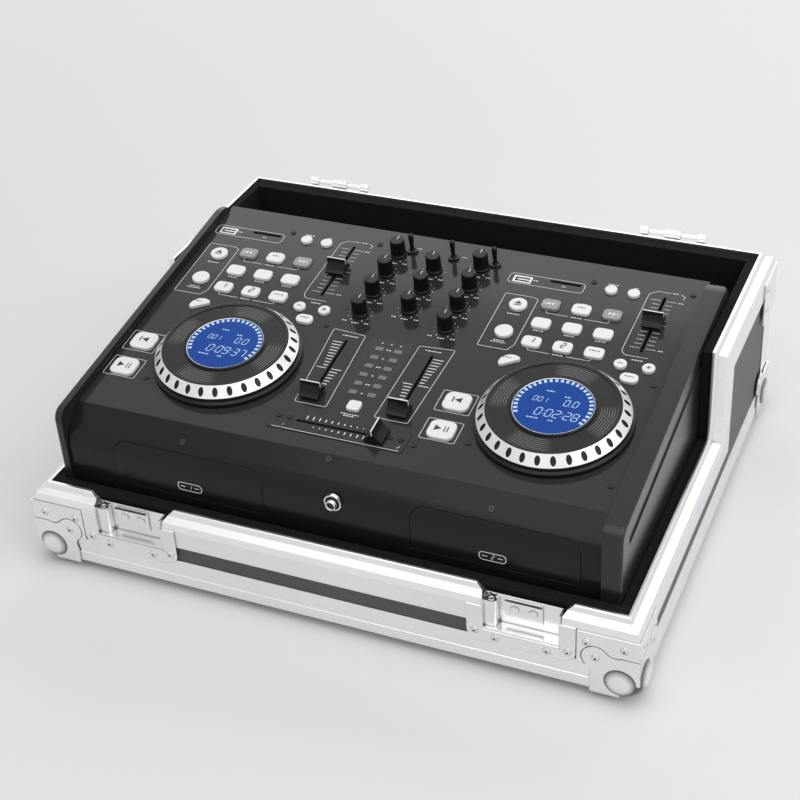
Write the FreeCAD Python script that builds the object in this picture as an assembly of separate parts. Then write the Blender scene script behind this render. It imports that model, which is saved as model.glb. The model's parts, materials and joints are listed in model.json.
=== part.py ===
import FreeCAD, Part
import math
import os

# Twin disc player with a two-channel mixer, seated in the open lower tray of its flight case.
# X runs to the right, Y to the rear and Z up. The origin is on the floor, under the middle of
# the case. The control deck rises towards the rear, so everything on it is drawn in deck
# coordinates (u right, v along the slope, w away from the deck) and then placed by DECK.
# All sizes are in millimetres.

V = FreeCAD.Vector

# ---- clearances ----
RUN_CLEAR = 0.05        # a shaft or hub that turns in its bore
GAP = 0.3               # between pieces that pass each other
ALONG = 0.9             # an edge whose direction has this share of an axis runs along it
SLIDE_GAP = 0.5         # round a cap, key or stem in its cut-out
KEY_GAP = 0.4

# ---- driving size ----
CONSOLE_W = 489.0       # across the cheeks; the console's own sizes, and then the case's, follow it
FIT = CONSOLE_W / 489.0


def fit(*lengths):
    """Lengths drawn for the width of 489, carried to the width that is set."""
    return tuple(length * FIT for length in lengths)


# ---- flight-case tray ----
CASE_BASE = 8.0         # underside of the case above the floor
DOOR_OVER_RIM = 9.5     # tray doors above the shoulder of the front rim
RIM_STEP = 88.0         # the rear rim stands this much higher
STEP_FROM_REAR = 178.0  # where the sides step up
BAY = 62.25             # cable bay behind the console
PLY = 9.0
SKIN = 1.8              # wall of the aluminium extrusions
EDGE_LEG = 26.0
EDGE_BEAD = 10.0        # the thicker lower band of the edge extrusion
BEAD_STEP = 0.7
RIM_LEG = 24.0
RIM_INNER_LEG = 12.0
RIM_WEB = 4.0           # from the shoulder line down to the top of the plywood
SHOULDER = 7.0          # height of the rim's sloping shoulder
LEDGE = 8.5             # from the outer face to the foot of the tongue
TONGUE_T = 2.0
TONGUE_H = 5.5
FOOT_R = 19.0
FOOT_INSET = 60.0

# ---- case hardware ----
PLATE_T = 1.5
PLATE_GAP = 0.7         # between hardware plates that lie side by side
BALL_R = 20.0
BALL_INSET = 14.0       # from the case's faces to the centre of the ball
BALL_PLATE = 38.0
LOBE_AT = 33.5
LOBE_R = 11.0
BRACE_W = 44.0          # along the sides and the rear
LOW_BRACE_H = 32.0
HIGH_BRACE_H = 42.0
WAIST_R = 9.0           # round cuts beside the lobe
WAIST_CUT = 1.0
RIVET_R = 3.6
RIVET_H = 1.4
RIVET_DOME_R = 5.4
RIVET_HOLE_R = 1.0
LATCH_CLEAR = 4.5       # between a ball corner's plate and the latch's flange
DISH_W = 64.0
DISH_DROP = 29.0        # floor of the recess below the rim's shoulder
DISH_DEPTH = 10.5
DISH_T = 1.2
DISH_BEAD_R = 1.5       # bead round the mouth of the dish
POST_W = 10.0           # corner post at the left end of the dish
POST_DEEP = 8.0
POST_DROP = 2.5         # top of the post below the rim's shoulder
POST_RING_R = 3.4
POST_RING_DEPTH = 1.2
DISH_FLANGE_W = 88.0
FLANGE_DROP = 42.0      # lower edge of the flange below the shoulder
FLANGE_R = 10.0
RIM_CHAMFER = 9.0       # how far the rim's cut ends are chamfered
KEEPER_W = 30.0
KEEPER_H = 19.0
KEEPER_LIP = 5.0
KEEPER_T = 1.5
HINGE_INSET = 96.0      # from the side of the case to the middle of each hinge
HINGE_W = 62.0
HINGE_LEAF_H = 30.0
KNUCKLE_R = 3.8
KNUCKLE_END = 8.0
KNUCKLE_MID = 15.0
PIN_R = 2.0

# ---- foam ----
FOAM_ABOVE = 3.0        # foam above the rim's shoulder
FOAM_GAP = 0.4          # between the foam and the console
FLOOR_FOAM_T = 12.0
FRONT_FOAM_T = 11.2
REAR_FOAM_T = 12.0
SIDE_FOAM_T = 5.8       # on the left; the console stands a little off the middle

# ---- console ----
CONSOLE_MID = -1.5 * FIT
CHEEK_T_LEFT = 7.5 * FIT
CHEEK_T_RIGHT = 16.0 * FIT
CHEEK_RISE = 8.0 * FIT    # cheek above the deck
CHEEK_ROUND = 3.0 * FIT   # rounding of the cheeks' outer edges
CHEEK_FRONT_R = 11.0 * FIT
CHEEK_REAR_R = 24.0 * FIT
CHEEK_AHEAD = 110.4 * FIT  # front of the cheeks ahead of the line through the wheel centres
CHEEK_REAR_OVER = 5.0 * FIT  # the cheeks run past the rear panel
CHEEK_RIB_D = 1.2 * FIT   # groove along a cheek's outer face
CHEEK_RIB_W = 10.0 * FIT
DECK_TILT = 7.7
DECK_RISE = 118.8 * FIT    # deck above the console's underside, on the line through the wheel centres
DECK_FRONT = -84.0 * FIT
DECK_REAR = 205.0 * FIT
DECK_T = 2.0 * FIT
SHEET = 1.5 * FIT
FASCIA_BACK = 3.0 * FIT    # fascia behind the front of the cheeks
FASCIA_T = 3.0 * FIT
FASCIA_SLOPE = 40.0
FASCIA_R = 24.0 * FIT
SEAM = 0.3

# ---- disc trays ----
TRAY_MID = 7.5 * FIT      # the two halves mirror about this line
TRAY_DX = 133.2 * FIT
DOOR_W = 138.0 * FIT
DOOR_RISE = 51.7 * FIT     # lower edge of the doors above the console's underside
DOOR_H = 39.0 * FIT
DOOR_R = 11.0 * FIT
DOOR_GAP = 0.5
TRAY_W = 130.0 * FIT
TRAY_L = 165.0 * FIT
TRAY_T = 5.0 * FIT
TRAY_ABOVE = 2.5 * FIT    # tray underside above the lower edge of the door
DISC_WELL_R = 60.6 * FIT
DISC_WELL_D = 2.2 * FIT
HUB_WELL_R = 40.5 * FIT
HUB_WELL_D = 1.2 * FIT
DISC_FROM_DOOR = 72.0 * FIT
SPINDLE_SLOT_R = 19.0 * FIT
RAIL_W = 5.0 * FIT
RAIL_LIP = 3.0 * FIT
LOADER_T = 2.0 * FIT
LOADER_DROP = 18.0 * FIT  # loader plate below the tray
LOADER_L = 150.0 * FIT
SLED = fit(40.0, 24.0, 7.0)
LENS_R = 4.0 * FIT
MOTOR_R = 12.0 * FIT
MOTOR_H = 9.0 * FIT
TURNTABLE_R = 14.0 * FIT
TURNTABLE_T = 2.4 * FIT
TURNTABLE_DROP = 0.6 * FIT  # turntable top below the tray's underside
SPINDLE_R = 1.5 * FIT
POST_R = 4.0 * FIT

# ---- jog wheels ----
JOG_DX = 146.0 * FIT
JOG_RING_R = 62.0 * FIT
JOG_TOP_R = 54.5 * FIT
JOG_TOP = 16.7 * FIT      # top of the ring above the deck
JOG_RING_EDGE = 3.2 * FIT  # height of the ring's upright edge
JOG_RING_WALL = 3.0 * FIT
PLATE_DROP = 0.6 * FIT
PLATE_TOP_T = 3.5 * FIT
HUB_WALL = 2.5 * FIT
HUB_DEPTH = 5.5 * FIT
DISPLAY_R = 35.0 * FIT
DISPLAY_GLASS_R = 33.2 * FIT
DISPLAY_TOP = 17.6 * FIT
GLASS_DROP = 0.8 * FIT
BASE_R = 64.5 * FIT
BASE_H = 5.0 * FIT
BASE_WALL_R = 59.5 * FIT
BASE_WALL = 2.0 * FIT
BASE_DEPTH = 8.0 * FIT
DIMPLES = 30
DIMPLE = fit(8.0, 4.6)    # oval hollows on the slope: along it and across
DIMPLE_D = 1.1 * FIT

# ---- keys ----
KEY_TRAVEL = 1.2
KEY_UP = 2.6 * FIT
KEY_FLANGE = 1.2 * FIT
KEY_FLANGE_T = 1.2 * FIT
KEY_COL = 27.4 * FIT
KEY_ROWS = fit(87.0, 112.2, 138.4)
KEY_COL_AT = -49.0 * FIT
KEY_COUNT = 3
KEY_W = 16.5 * FIT
KEY_D = 13.0 * FIT
KEY_R = 4.0 * FIT
KEY_ROUND = 0.8 * FIT     # rounding of a key's upper edge
SMALL_KEY_R = 5.5 * FIT
ROUND_KEY_R = 8.0 * FIT
EJECT_AT = fit(-76.4, 131.5)
SINGLE_AT = fit(-76.2, 94.4)
PROGRAM_AT = fit(-5.2, 171.2)
SID_AT = fit(15.0, 171.2)
MINUS_AT = fit(30.4, 79.4)
PLUS_AT = fit(54.2, 79.9)
PITCH_KEY_AT = fit(42.3, 64.2)
PITCH_KEY = fit(15.5, 11.0, 5.2)
MOON_AT = fit(-60.2, 60.7)
MOON_KEY = fit(20.0, 9.6, 2.2)
MOON_TURN = 35.0
CUE_AT = fit(-82.2, -0.7)
PLAY_AT = fit(-82.2, -35.2)
CUE_KEY = fit(22.5, 20.5, 6.0)
RELAY_AT = fit(-8.4, -27.9)
RELAY_KEY = fit(11.5, 11.5, 3.0)
BOARD_DROP = 10.0 * FIT   # upper face of the key boards below the deck
BOARD_T = 1.6 * FIT
SWITCH_W = 6.0 * FIT

# ---- mixer ----
MIX_X = -11.0 * FIT
KNOB_OFF = 1.0 * FIT      # knob columns left of the mixer's middle
KNOB_R = 7.5 * FIT
KNOB_H = 17.0 * FIT
KNOB_GAP = 0.6          # knob above the deck
KNOB_FLUTES = 24
KNOB_SKIRT = 1.5 * FIT
KNOB_DRAFT = 0.3 * FIT
KNOB_BEVEL = 0.8 * FIT
POINTER_W = 1.2 * FIT
POINTER_DEPTH = 0.5 * FIT
FLUTE_R = 0.55 * FIT
KNOB_PITCH = 29.2 * FIT
KNOB_COL = 40.0 * FIT
KNOB_ROWS = 4
KNOB_V = 85.2 * FIT
MASTER_V = 101.0 * FIT
POT_SHAFT_R = 3.0 * FIT
POT_W = 12.0 * FIT
BUSH_R = 4.6 * FIT
SOCKET_DEPTH = 11.0 * FIT
TOGGLE_V = 180.5 * FIT
TOGGLE_W = 8.0 * FIT
TOGGLE_NUT_R = 5.1 * FIT
TOGGLE_NUT_H = 2.4 * FIT
TOGGLE_LEVER = 19.0 * FIT
TOGGLE_TIP_R = 2.5 * FIT
TOGGLE_NECK_R = 1.5 * FIT
TOGGLE_BALL_R = 2.6 * FIT
TOGGLE_PIVOT = 1.0 * FIT  # pivot above the deck
CH_X = fit(-48.8, 29.9)
CH_V = 10.8 * FIT
CH_SLOT = 77.0 * FIT
CH_REST = fit(-33.4, -34.2)
CROSS_X = -10.0 * FIT
CROSS_V = -56.0 * FIT
CROSS_SLOT = 75.0 * FIT
CROSS_REST = 33.8 * FIT
PITCH_DX = 42.0 * FIT
PITCH_V = 136.9 * FIT
PITCH_SLOT = 75.0 * FIT
PITCH_REST = 0.0
SLOT_W = 2.6 * FIT
STEM_T = 1.4 * FIT
STEM_L = 4.0 * FIT
CAP_W = 17.5 * FIT
CAP_L = 16.5 * FIT
CAP_H = 12.2 * FIT
CAP_FOOT = 1.5 * FIT      # upright edge below the cap's hollow faces
CAP_RIDGE = 0.9 * FIT     # half the width of the ridge
CAP_HOLLOW = 1.2 * FIT
CAP_GAP = 2.0           # cap above the deck, clear of the plate's screws
FADER_BODY_W = 11.0 * FIT
FADER_BODY_H = 8.0 * FIT
FADER_WALL = 1.4 * FIT
FADER_END = 4.5 * FIT
SLIDER_W = 6.5 * FIT
SLIDER_T = 3.0 * FIT
CROSS_PLATE = fit(120.0, 24.0)
CROSS_PLATE_T = 0.8 * FIT
CROSS_PLATE_R = 2.0 * FIT
METER_X = -8.7 * FIT
METER_V = 17.5 * FIT
METER_DX = 8.5 * FIT
METER_PITCH = 11.35 * FIT
METER_LED = fit(7.0, 4.6)
METER_ROWS = 6
METER_PROUD = 0.3 * FIT

# ---- sockets and screws ----
USB_AT = fit(-84.9, 167.6)
USB = (13.2, 5.8)
USB_RECESS = (17.0, 9.0)
CARD_AT = fit(-46.3, 171.2)
CARD = (28.0, 3.0)
PORT_DEPTH = 16.0 * FIT
PORT_WALL = 1.0
JACK_RISE = 81.2 * FIT     # above the console's underside
JACK_BORE = 3.25
JACK_BUSH_R = 5.0
JACK_NUT_R = 7.4
JACK_NUT_T = 3.0
JACK_LEN = 26.0
JACK_BODY = 15.0
SCREW_SPOTS = (fit(63.6, 62.9), fit(63.8, 183.2), fit(-23.0, 179.6), fit(-57.5, -42.0))
CORNER_SCREWS = (fit(217.1, -56.5), fit(55.5, -56.3))
FASCIA_SCREWS = fit(-132.4, -4.3, 135.5)
FASCIA_SCREW_SHARES = (0.78, 0.2, 0.78)         # how far down the slope
PLATE_SCREWS = fit(-53.9, -44.3, 44.3, 53.9)  # along the crossfader plate, from its middle
PLATE_SCREW_DV = 2.0 * FIT
SCREW_R = 2.6
SCREW_HEAD = 0.9
SCREW_SLOT = 3.4        # length of each bar of the cross
SCREW_SHANK_R = 1.25
SCREW_LEN = 7.0 * FIT
RCA_R = 4.2
RCA_HOLE_R = 3.2         # hole in the rear panel behind each socket
RCA_PIN_HOLE = 1.7
RCA_LEN = 9.0
RCA_PITCH = 18.0 * FIT
RCA_COUNT = 8
RCA_X = -190.0 * FIT
RCA_RISE = 53.2 * FIT
INLET_X = 175.0 * FIT
INLET_RISE = 39.2 * FIT
INLET = (27.0, 19.5)
INLET_DEPTH = 16.0
PIN_PITCH = 7.0
PIN_T = 2.0
SWITCH_AT = 205.0 * FIT
SWITCH_SIZE = fit(13.0, 19.0)
PSU = fit(90.0, 60.0, 34.0)
PSU_X = 150.0 * FIT
PSU_FROM_REAR = 63.0 * FIT
MAIN_BOARD = fit(118.0, 226.0)
MAIN_BOARD_V = 64.0 * FIT
BOARD_REACH = 90.0 * FIT  # from a wheel's centre to the board's left edge
BOARD_MARGIN = 4.0 * FIT
BOARD_V = 52.0 * FIT

# ---- derived places ----
WALL_IN = SKIN + PLY
RIM_IN = WALL_IN + TONGUE_T
FLOOR_TOP = CASE_BASE + SKIN + PLY
CONSOLE_Z = FLOOR_TOP + FLOOR_FOAM_T
CONSOLE_X0 = CONSOLE_MID - CONSOLE_W / 2
CONSOLE_X1 = CONSOLE_MID + CONSOLE_W / 2
CONSOLE_D = CHEEK_AHEAD + DECK_REAR * math.cos(math.radians(DECK_TILT)) + CHEEK_REAR_OVER
CASE_W = 2 * (RIM_IN + SIDE_FOAM_T + FOAM_GAP - CONSOLE_X0)
CASE_D = 2 * RIM_IN + FRONT_FOAM_T + FOAM_GAP + CONSOLE_D + BAY + REAR_FOAM_T
HX = CASE_W / 2
HY = CASE_D / 2
DOOR_Z0 = CONSOLE_Z + DOOR_RISE
DOOR_Z1 = DOOR_Z0 + DOOR_H
LOW_Z = DOOR_Z0 - DOOR_OVER_RIM
HIGH_Z = LOW_Z + RIM_STEP
STEP_Y = HY - STEP_FROM_REAR
LATCH_INSET = LOBE_AT + LOBE_R + LATCH_CLEAR + DISH_FLANGE_W / 2
LATCH_X = HX - LATCH_INSET
HINGE_X = HX - HINGE_INSET
FOAM_FRONT = -HY + RIM_IN + FRONT_FOAM_T
CHEEK_FRONT_Y = FOAM_FRONT + FOAM_GAP
FASCIA_Y = CHEEK_FRONT_Y + FASCIA_BACK
DECK_X0 = CONSOLE_X0 + CHEEK_T_LEFT
DECK_X1 = CONSOLE_X1 - CHEEK_T_RIGHT
DECK_Y = CHEEK_FRONT_Y + CHEEK_AHEAD
DECK_Z = CONSOLE_Z + DECK_RISE
DECK = FreeCAD.Placement(V(0, DECK_Y, DECK_Z), FreeCAD.Rotation(V(1, 0, 0), DECK_TILT))
JOG_X = {"left": TRAY_MID - JOG_DX, "right": TRAY_MID + JOG_DX}
TRAY_X = {"left": TRAY_MID - TRAY_DX, "right": TRAY_MID + TRAY_DX}
REAR_Y = DECK.multVec(V(0, DECK_REAR, 0)).y
DOOR_BACK = FASCIA_Y + FASCIA_T
DISC_Y = DOOR_BACK + DISC_FROM_DOOR
TRAY_Z = DOOR_Z0 + TRAY_ABOVE
LOADER_Z = TRAY_Z - LOADER_DROP
LOADER_TOP = LOADER_Z + LOADER_T
BOARD_W = -BOARD_DROP
KNOB_X = MIX_X - KNOB_OFF
TOGGLE_DX = (POT_W + TOGGLE_W) / 2 + SLIDE_GAP
JACK_Z = CONSOLE_Z + JACK_RISE
RCA_Z = CONSOLE_Z + RCA_RISE
INLET_Z = CONSOLE_Z + INLET_RISE
DISH_TOP = LOW_Z - SHOULDER
DISH_FLOOR = LOW_Z - DISH_DROP
FLANGE_FLOOR = LOW_Z - FLANGE_DROP

NODES = {}


# ---- small builders ----
def box(x0, x1, y0, y1, z0, z1):
    return Part.makeBox(x1 - x0, y1 - y0, z1 - z0, V(x0, y0, z0))


def slab(x, y, wide, deep, z0, z1):
    return box(x - wide / 2, x + wide / 2, y - deep / 2, y + deep / 2, z0, z1)


def rod(radius, x, y, z0, z1):
    return Part.makeCylinder(radius, z1 - z0, V(x, y, z0))


def rod_y(radius, x, z, y0, y1):
    return Part.makeCylinder(radius, y1 - y0, V(x, y0, z), V(0, 1, 0))


def rod_x(radius, y, z, x0, x1):
    return Part.makeCylinder(radius, x1 - x0, V(x0, y, z), V(1, 0, 0))


def face_of(edges_or_points):
    if isinstance(edges_or_points[0], FreeCAD.Vector):
        wire = Part.makePolygon(edges_or_points + edges_or_points[:1])
    else:
        wire = Part.Wire(edges_or_points)
    return Part.Face(wire)


def side_prism(points, x0, x1):
    """Solid whose outline is given in the Y-Z plane."""
    return face_of([V(x0, y, z) for y, z in points]).extrude(V(x1 - x0, 0, 0))


def front_prism(points, y0, y1):
    """Solid whose outline is given in the X-Z plane."""
    return face_of([V(x, y0, z) for x, z in points]).extrude(V(0, y1 - y0, 0))


def rounded(x, y, wide, deep, radius, z0, z1):
    """Upright block with rounded corners."""
    body = slab(x, y, wide, deep, z0, z1)
    upright = [e for e in body.Edges if abs(e.tangentAt(e.FirstParameter).z) > ALONG]
    return body.makeFillet(min(radius, wide / 2 - GAP, deep / 2 - GAP), upright)


def edges_along_y(body):
    return [e for e in body.Edges if abs(e.tangentAt(e.FirstParameter).y) > ALONG]


def turned(points, x, y):
    """Solid of revolution about an upright axis through (x, y); points are (radius, height)."""
    outline = face_of([V(r, 0, z) for r, z in points])
    body = outline.revolve(V(0, 0, 0), V(0, 0, 1), 360)
    body.translate(V(x, y, 0))
    return body


def fused(shapes):
    return shapes[0].multiFuse(shapes[1:]).removeSplitter()


def cut(body, tools):
    return body.cut(Part.makeCompound(tools))


def on_deck(shape):
    placed = shape.copy()
    placed.Placement = DECK.multiply(placed.Placement)
    return placed


def upright_at(edge, x, y):
    """Whether an edge is the upright one at this place."""
    middle = edge.CenterOfMass
    return abs(middle.x - x) < GAP and abs(middle.y - y) < GAP


def moved_x(shape, by):
    copy = shape.copy()
    copy.translate(V(by, 0, 0))
    return copy


def mirror_x(shape):
    return shape.mirror(V(0, 0, 0), V(1, 0, 0))


def mirror_y(shape):
    return shape.mirror(V(0, 0, 0), V(0, 1, 0))


def four_ways(shape):
    """A corner piece drawn at the front left, repeated at all four corners."""
    front = [shape, mirror_x(shape)]
    return front + [mirror_y(s) for s in front]


def both_sides(shape):
    return [shape, mirror_x(shape)]


def add(name, shapes):
    NODES[name] = list(shapes)


# ---- flight-case tray ----
def bar(section, start, end):
    """Extrusion between two ends, each a function of a section point, so mitres meet."""
    near, far = [[place(a, b) for a, b in section] for place in (start, end)]
    sides = zip(near, near[1:] + near[:1], far[1:] + far[:1], far)
    faces = [face_of(near), face_of(far)] + [face_of(list(corners)) for corners in sides]
    body = Part.makeSolid(Part.makeShell(faces))
    return body if body.Volume > 0 else body.reversed()


def rim_section():
    """Rim extrusion: a is measured inwards from the outer face, b up from the shoulder line."""
    return [
        (0, -RIM_LEG), (0, -SHOULDER), (LEDGE / 4, -SHOULDER / 4), (LEDGE, SKIN / 4),
        (WALL_IN - SKIN / 2, TONGUE_H - SKIN / 2), (WALL_IN, TONGUE_H), (RIM_IN, TONGUE_H),
        (RIM_IN, -RIM_INNER_LEG), (WALL_IN, -RIM_INNER_LEG), (WALL_IN, -RIM_WEB),
        (SKIN, -RIM_WEB), (SKIN, -RIM_LEG)]


def edge_section():
    """Lower edge extrusion: b is measured up from the underside."""
    return [
        (SKIN / 2, 0), (0, SKIN / 2), (0, EDGE_BEAD), (BEAD_STEP, EDGE_BEAD + BEAD_STEP),
        (BEAD_STEP, EDGE_LEG), (SKIN, EDGE_LEG), (SKIN, SKIN), (EDGE_LEG, SKIN), (EDGE_LEG, 0)]


def front_gap(z0, z1, lift):
    """Cut-out in the front rim at the left latch, with chamfered upper corners."""
    half = DISH_W / 2
    knee = LOW_Z - SKIN
    points = [(-half, z0), (-half, knee), (-half - lift, knee + lift), (-half - lift, z1),
              (half + lift, z1), (half + lift, knee + lift), (half, knee), (half, z0)]
    return front_prism([(x - LATCH_X, z) for x, z in points], -HY - PLATE_T, -HY + RIM_IN + SKIN)


def make_rims():
    section = rim_section()
    front = bar(section, lambda a, b: V(-HX + a, -HY + a, LOW_Z + b),
                lambda a, b: V(HX - a, -HY + a, LOW_Z + b))
    gap = front_gap(LOW_Z - RIM_LEG - SKIN, LOW_Z + RIM_CHAMFER + SKIN, RIM_CHAMFER)
    front = cut(front, both_sides(gap))
    rear = bar(section, lambda a, b: V(-HX + a, HY - a, HIGH_Z + b),
               lambda a, b: V(HX - a, HY - a, HIGH_Z + b))
    ends = [
        lambda a, b: V(-HX + a, -HY + a, LOW_Z + b),
        lambda a, b: V(-HX + a, STEP_Y - b, LOW_Z + b),
        lambda a, b: V(-HX + a, STEP_Y - b, HIGH_Z + b),
        lambda a, b: V(-HX + a, HY - a, HIGH_Z + b)]
    runs = [bar(section, start, end) for start, end in zip(ends, ends[1:])]
    sides = [s for piece in runs for s in both_sides(piece)]
    add("rim_profiles", front.Solids + [rear] + sides)


def make_edges():
    section = edge_section()
    z = CASE_BASE
    front = bar(section, lambda a, b: V(-HX + a, -HY + a, z + b), lambda a, b: V(HX - a, -HY + a, z + b))
    side = bar(section, lambda a, b: V(-HX + a, -HY + a, z + b), lambda a, b: V(-HX + a, HY - a, z + b))
    front, side = without_corners(front), without_corners(side)
    solids = [front, mirror_y(front)] + both_sides(side)
    for y_sign, top in ((1, LOW_Z - RIM_LEG), (-1, HIGH_Z - RIM_LEG)):
        angle = fused([
            box(-HX + BEAD_STEP, -HX + EDGE_LEG, -HY + BEAD_STEP, -HY + SKIN, z + EDGE_LEG, top),
            box(-HX + BEAD_STEP, -HX + SKIN, -HY + BEAD_STEP, -HY + EDGE_LEG, z + EDGE_LEG, top)])
        angle = angle if y_sign > 0 else mirror_y(angle)
        solids += both_sides(angle)
    add("edge_profiles", solids)


def make_panels():
    low = LOW_Z - RIM_WEB
    high = HIGH_Z - RIM_WEB
    px = HX - SKIN
    py = HY - SKIN
    floor = box(-px, px, -py, py, CASE_BASE + SKIN, FLOOR_TOP)
    add("case_floor", [without_corners(floor)])
    front = box(-px, px, -py, -py + PLY, FLOOR_TOP, low)
    pocket = box(-LATCH_X - DISH_W / 2, -LATCH_X + DISH_W / 2, -HY, -HY + WALL_IN, DISH_FLOOR, low)
    front = cut(front, both_sides(pocket))
    rear = box(-px, px, py - PLY, py, FLOOR_TOP, high)
    step = STEP_Y + RIM_WEB
    outline = [(-py + PLY, FLOOR_TOP), (py - PLY, FLOOR_TOP), (py - PLY, high), (step, high), (step, low),
               (-py + PLY, low)]
    side = side_prism(outline, -px, -px + PLY)
    add("case_walls", [without_corners(board) for board in [front, rear] + both_sides(side)])


def make_foam():
    low = LOW_Z + FOAM_ABOVE
    high = HIGH_Z + FOAM_ABOVE
    left_in = CONSOLE_X0 - FOAM_GAP
    right_in = CONSOLE_X1 + FOAM_GAP
    side_out = HX - RIM_IN
    rear_in = HY - RIM_IN - REAR_FOAM_T
    front = box(-side_out, side_out, -HY + RIM_IN, FOAM_FRONT, FLOOR_TOP, low)
    rear = box(-side_out, side_out, rear_in, HY - RIM_IN, FLOOR_TOP, high)
    step = STEP_Y - FOAM_ABOVE
    outline = [(FOAM_FRONT, FLOOR_TOP), (rear_in, FLOOR_TOP), (rear_in, high), (step, high), (step, low),
               (FOAM_FRONT, low)]
    sides = [side_prism(outline, -side_out, left_in), side_prism(outline, right_in, side_out)]
    floor = box(left_in, right_in, FOAM_FRONT, rear_in, FLOOR_TOP, CONSOLE_Z)
    add("foam_lining", [front, rear, floor] + sides)


def make_feet():
    top = CASE_BASE + SKIN
    outline = [(0, 0), (FOOT_R - SKIN, 0), (FOOT_R, SKIN), (FOOT_R - SKIN, top), (0, top)]
    foot = turned(outline, -HX + FOOT_INSET, -HY + FOOT_INSET)
    add("rubber_feet", four_ways(foot))


# ---- case hardware ----
def corner_frame(ex, ey, origin):
    """Placement whose local X and Y run along ex and ey."""
    ez = ex.cross(ey)
    matrix = FreeCAD.Matrix(
        ex.x, ey.x, ez.x, origin.x,
        ex.y, ey.y, ez.y, origin.y,
        ex.z, ey.z, ez.z, origin.z,
        0, 0, 0, 1)
    return FreeCAD.Placement(matrix)


def corner_frames():
    """The front, side and under faces at the front left corner, each seen with its normal outwards."""
    corner = V(-HX, -HY, CASE_BASE)
    x, y, z = V(1, 0, 0), V(0, 1, 0), V(0, 0, 1)
    return [corner_frame(x, z, corner), corner_frame(z, y, corner), corner_frame(y, x, corner)]


def lobed_plate():
    """Plate of a ball corner: a square round the corner with one rounded lobe."""
    arm = slab(0, 0, LOBE_AT * math.sqrt(2), 2 * LOBE_R, 0, PLATE_T)
    arm.rotate(V(0, 0, 0), V(0, 0, 1), 45)
    arm.translate(V(LOBE_AT / 2, LOBE_AT / 2, 0))
    square = box(-PLATE_T, BALL_PLATE, -PLATE_T, BALL_PLATE, 0, PLATE_T)
    plate = fused([square, arm, rod(LOBE_R, LOBE_AT, LOBE_AT, 0, PLATE_T)])
    side = LOBE_AT + LOBE_R
    kept = box(-PLATE_T, side, -PLATE_T, side, 0, PLATE_T)
    waists = [rod(WAIST_R, *at, -GAP, PLATE_T + GAP) for at in waist_places()]
    return cut(plate.common(kept), waists)


def waist_places():
    """Middles of the round cuts between the lobe and the ends of the square."""
    off = BALL_PLATE + WAIST_R - WAIST_CUT
    across = LOBE_AT - math.sqrt((WAIST_R + LOBE_R) ** 2 - (off - LOBE_AT) ** 2)
    return (off, across), (across, off)


def placed(shape, placement):
    copy = shape.copy()
    copy.Placement = placement.multiply(copy.Placement)
    return copy


def corner_room(beyond):
    """Cube at the front left corner that the case leaves to the ball, grown outwards by a length."""
    return box(-HX - beyond, -HX + BALL_INSET, -HY - beyond, -HY + BALL_INSET,
               CASE_BASE - beyond, CASE_BASE + BALL_INSET)


def ball(radius):
    return Part.makeSphere(radius, V(-HX + BALL_INSET, -HY + BALL_INSET, CASE_BASE + BALL_INSET))


def ball_corner():
    """Pressed ball that stands for the case's corner, with a plate on each face."""
    plate = lobed_plate()
    plates = [placed(plate, frame).cut(corner_room(BALL_R)) for frame in corner_frames()]
    inside = box(-HX, HX, -HY, HY, CASE_BASE, HIGH_Z).cut(corner_room(0))
    return cut(fused(plates + [ball(BALL_R)]), [ball(BALL_R - PLATE_T), inside])


def without_corners(body):
    """A piece of the case, cut away where the four ball corners stand."""
    return cut(body, four_ways(corner_room(GAP)))


def brace(z0, z1, front_w):
    """Angle plate round the front left corner."""
    front = box(-HX - PLATE_T, -HX + front_w, -HY - PLATE_T, -HY, z0, z1)
    side = box(-HX - PLATE_T, -HX, -HY - PLATE_T, -HY + BRACE_W, z0, z1)
    return fused([front, side])


def make_corners():
    top = SHOULDER + SKIN / 2
    to_latch = LATCH_INSET - DISH_FLANGE_W / 2 - PLATE_GAP
    low = brace(LOW_Z - top - LOW_BRACE_H, LOW_Z - top, to_latch)
    low = cut(low, brace_margin()).Solids[0]
    high = mirror_y(brace(HIGH_Z - top - HIGH_BRACE_H, HIGH_Z - top, BRACE_W))
    add("corner_hardware", four_ways(ball_corner()) + both_sides(low) + both_sides(high))


def brace_margin():
    """The ball corner's outline with a little room, to shape the brace that meets it."""
    low = -PLATE_T
    high = 2 * PLATE_T
    arm = slab(0, 0, LOBE_AT * math.sqrt(2), 2 * (LOBE_R + PLATE_GAP), low, high)
    arm.rotate(V(0, 0, 0), V(0, 0, 1), 45)
    arm.translate(V(LOBE_AT / 2, LOBE_AT / 2, 0))
    edge = BALL_PLATE + PLATE_GAP
    square = box(-high, edge, -high, edge, low, high)
    whole = fused([square, arm, rod(LOBE_R + PLATE_GAP, LOBE_AT, LOBE_AT, low, high)])
    waists = [rod(WAIST_R - PLATE_GAP, *at, low, high) for at in waist_places()]
    whole = cut(whole, waists)
    return [placed(whole, frame) for frame in corner_frames()[:2]] + [ball(BALL_R + PLATE_GAP)]


def rivet(placement):
    """Domed rivet head on a face; local Z is the face's normal."""
    dome = Part.makeSphere(RIVET_DOME_R, V(0, 0, RIVET_H - RIVET_DOME_R))
    head = dome.common(rod(RIVET_R, 0, 0, 0, RIVET_H)).cut(rod(RIVET_HOLE_R, 0, 0, RIVET_H / 4, RIVET_H))
    return placed(head, placement)


def face_place(x, y, z, normal):
    return FreeCAD.Placement(V(x, y, z), FreeCAD.Rotation(V(0, 0, 1), normal))


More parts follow.
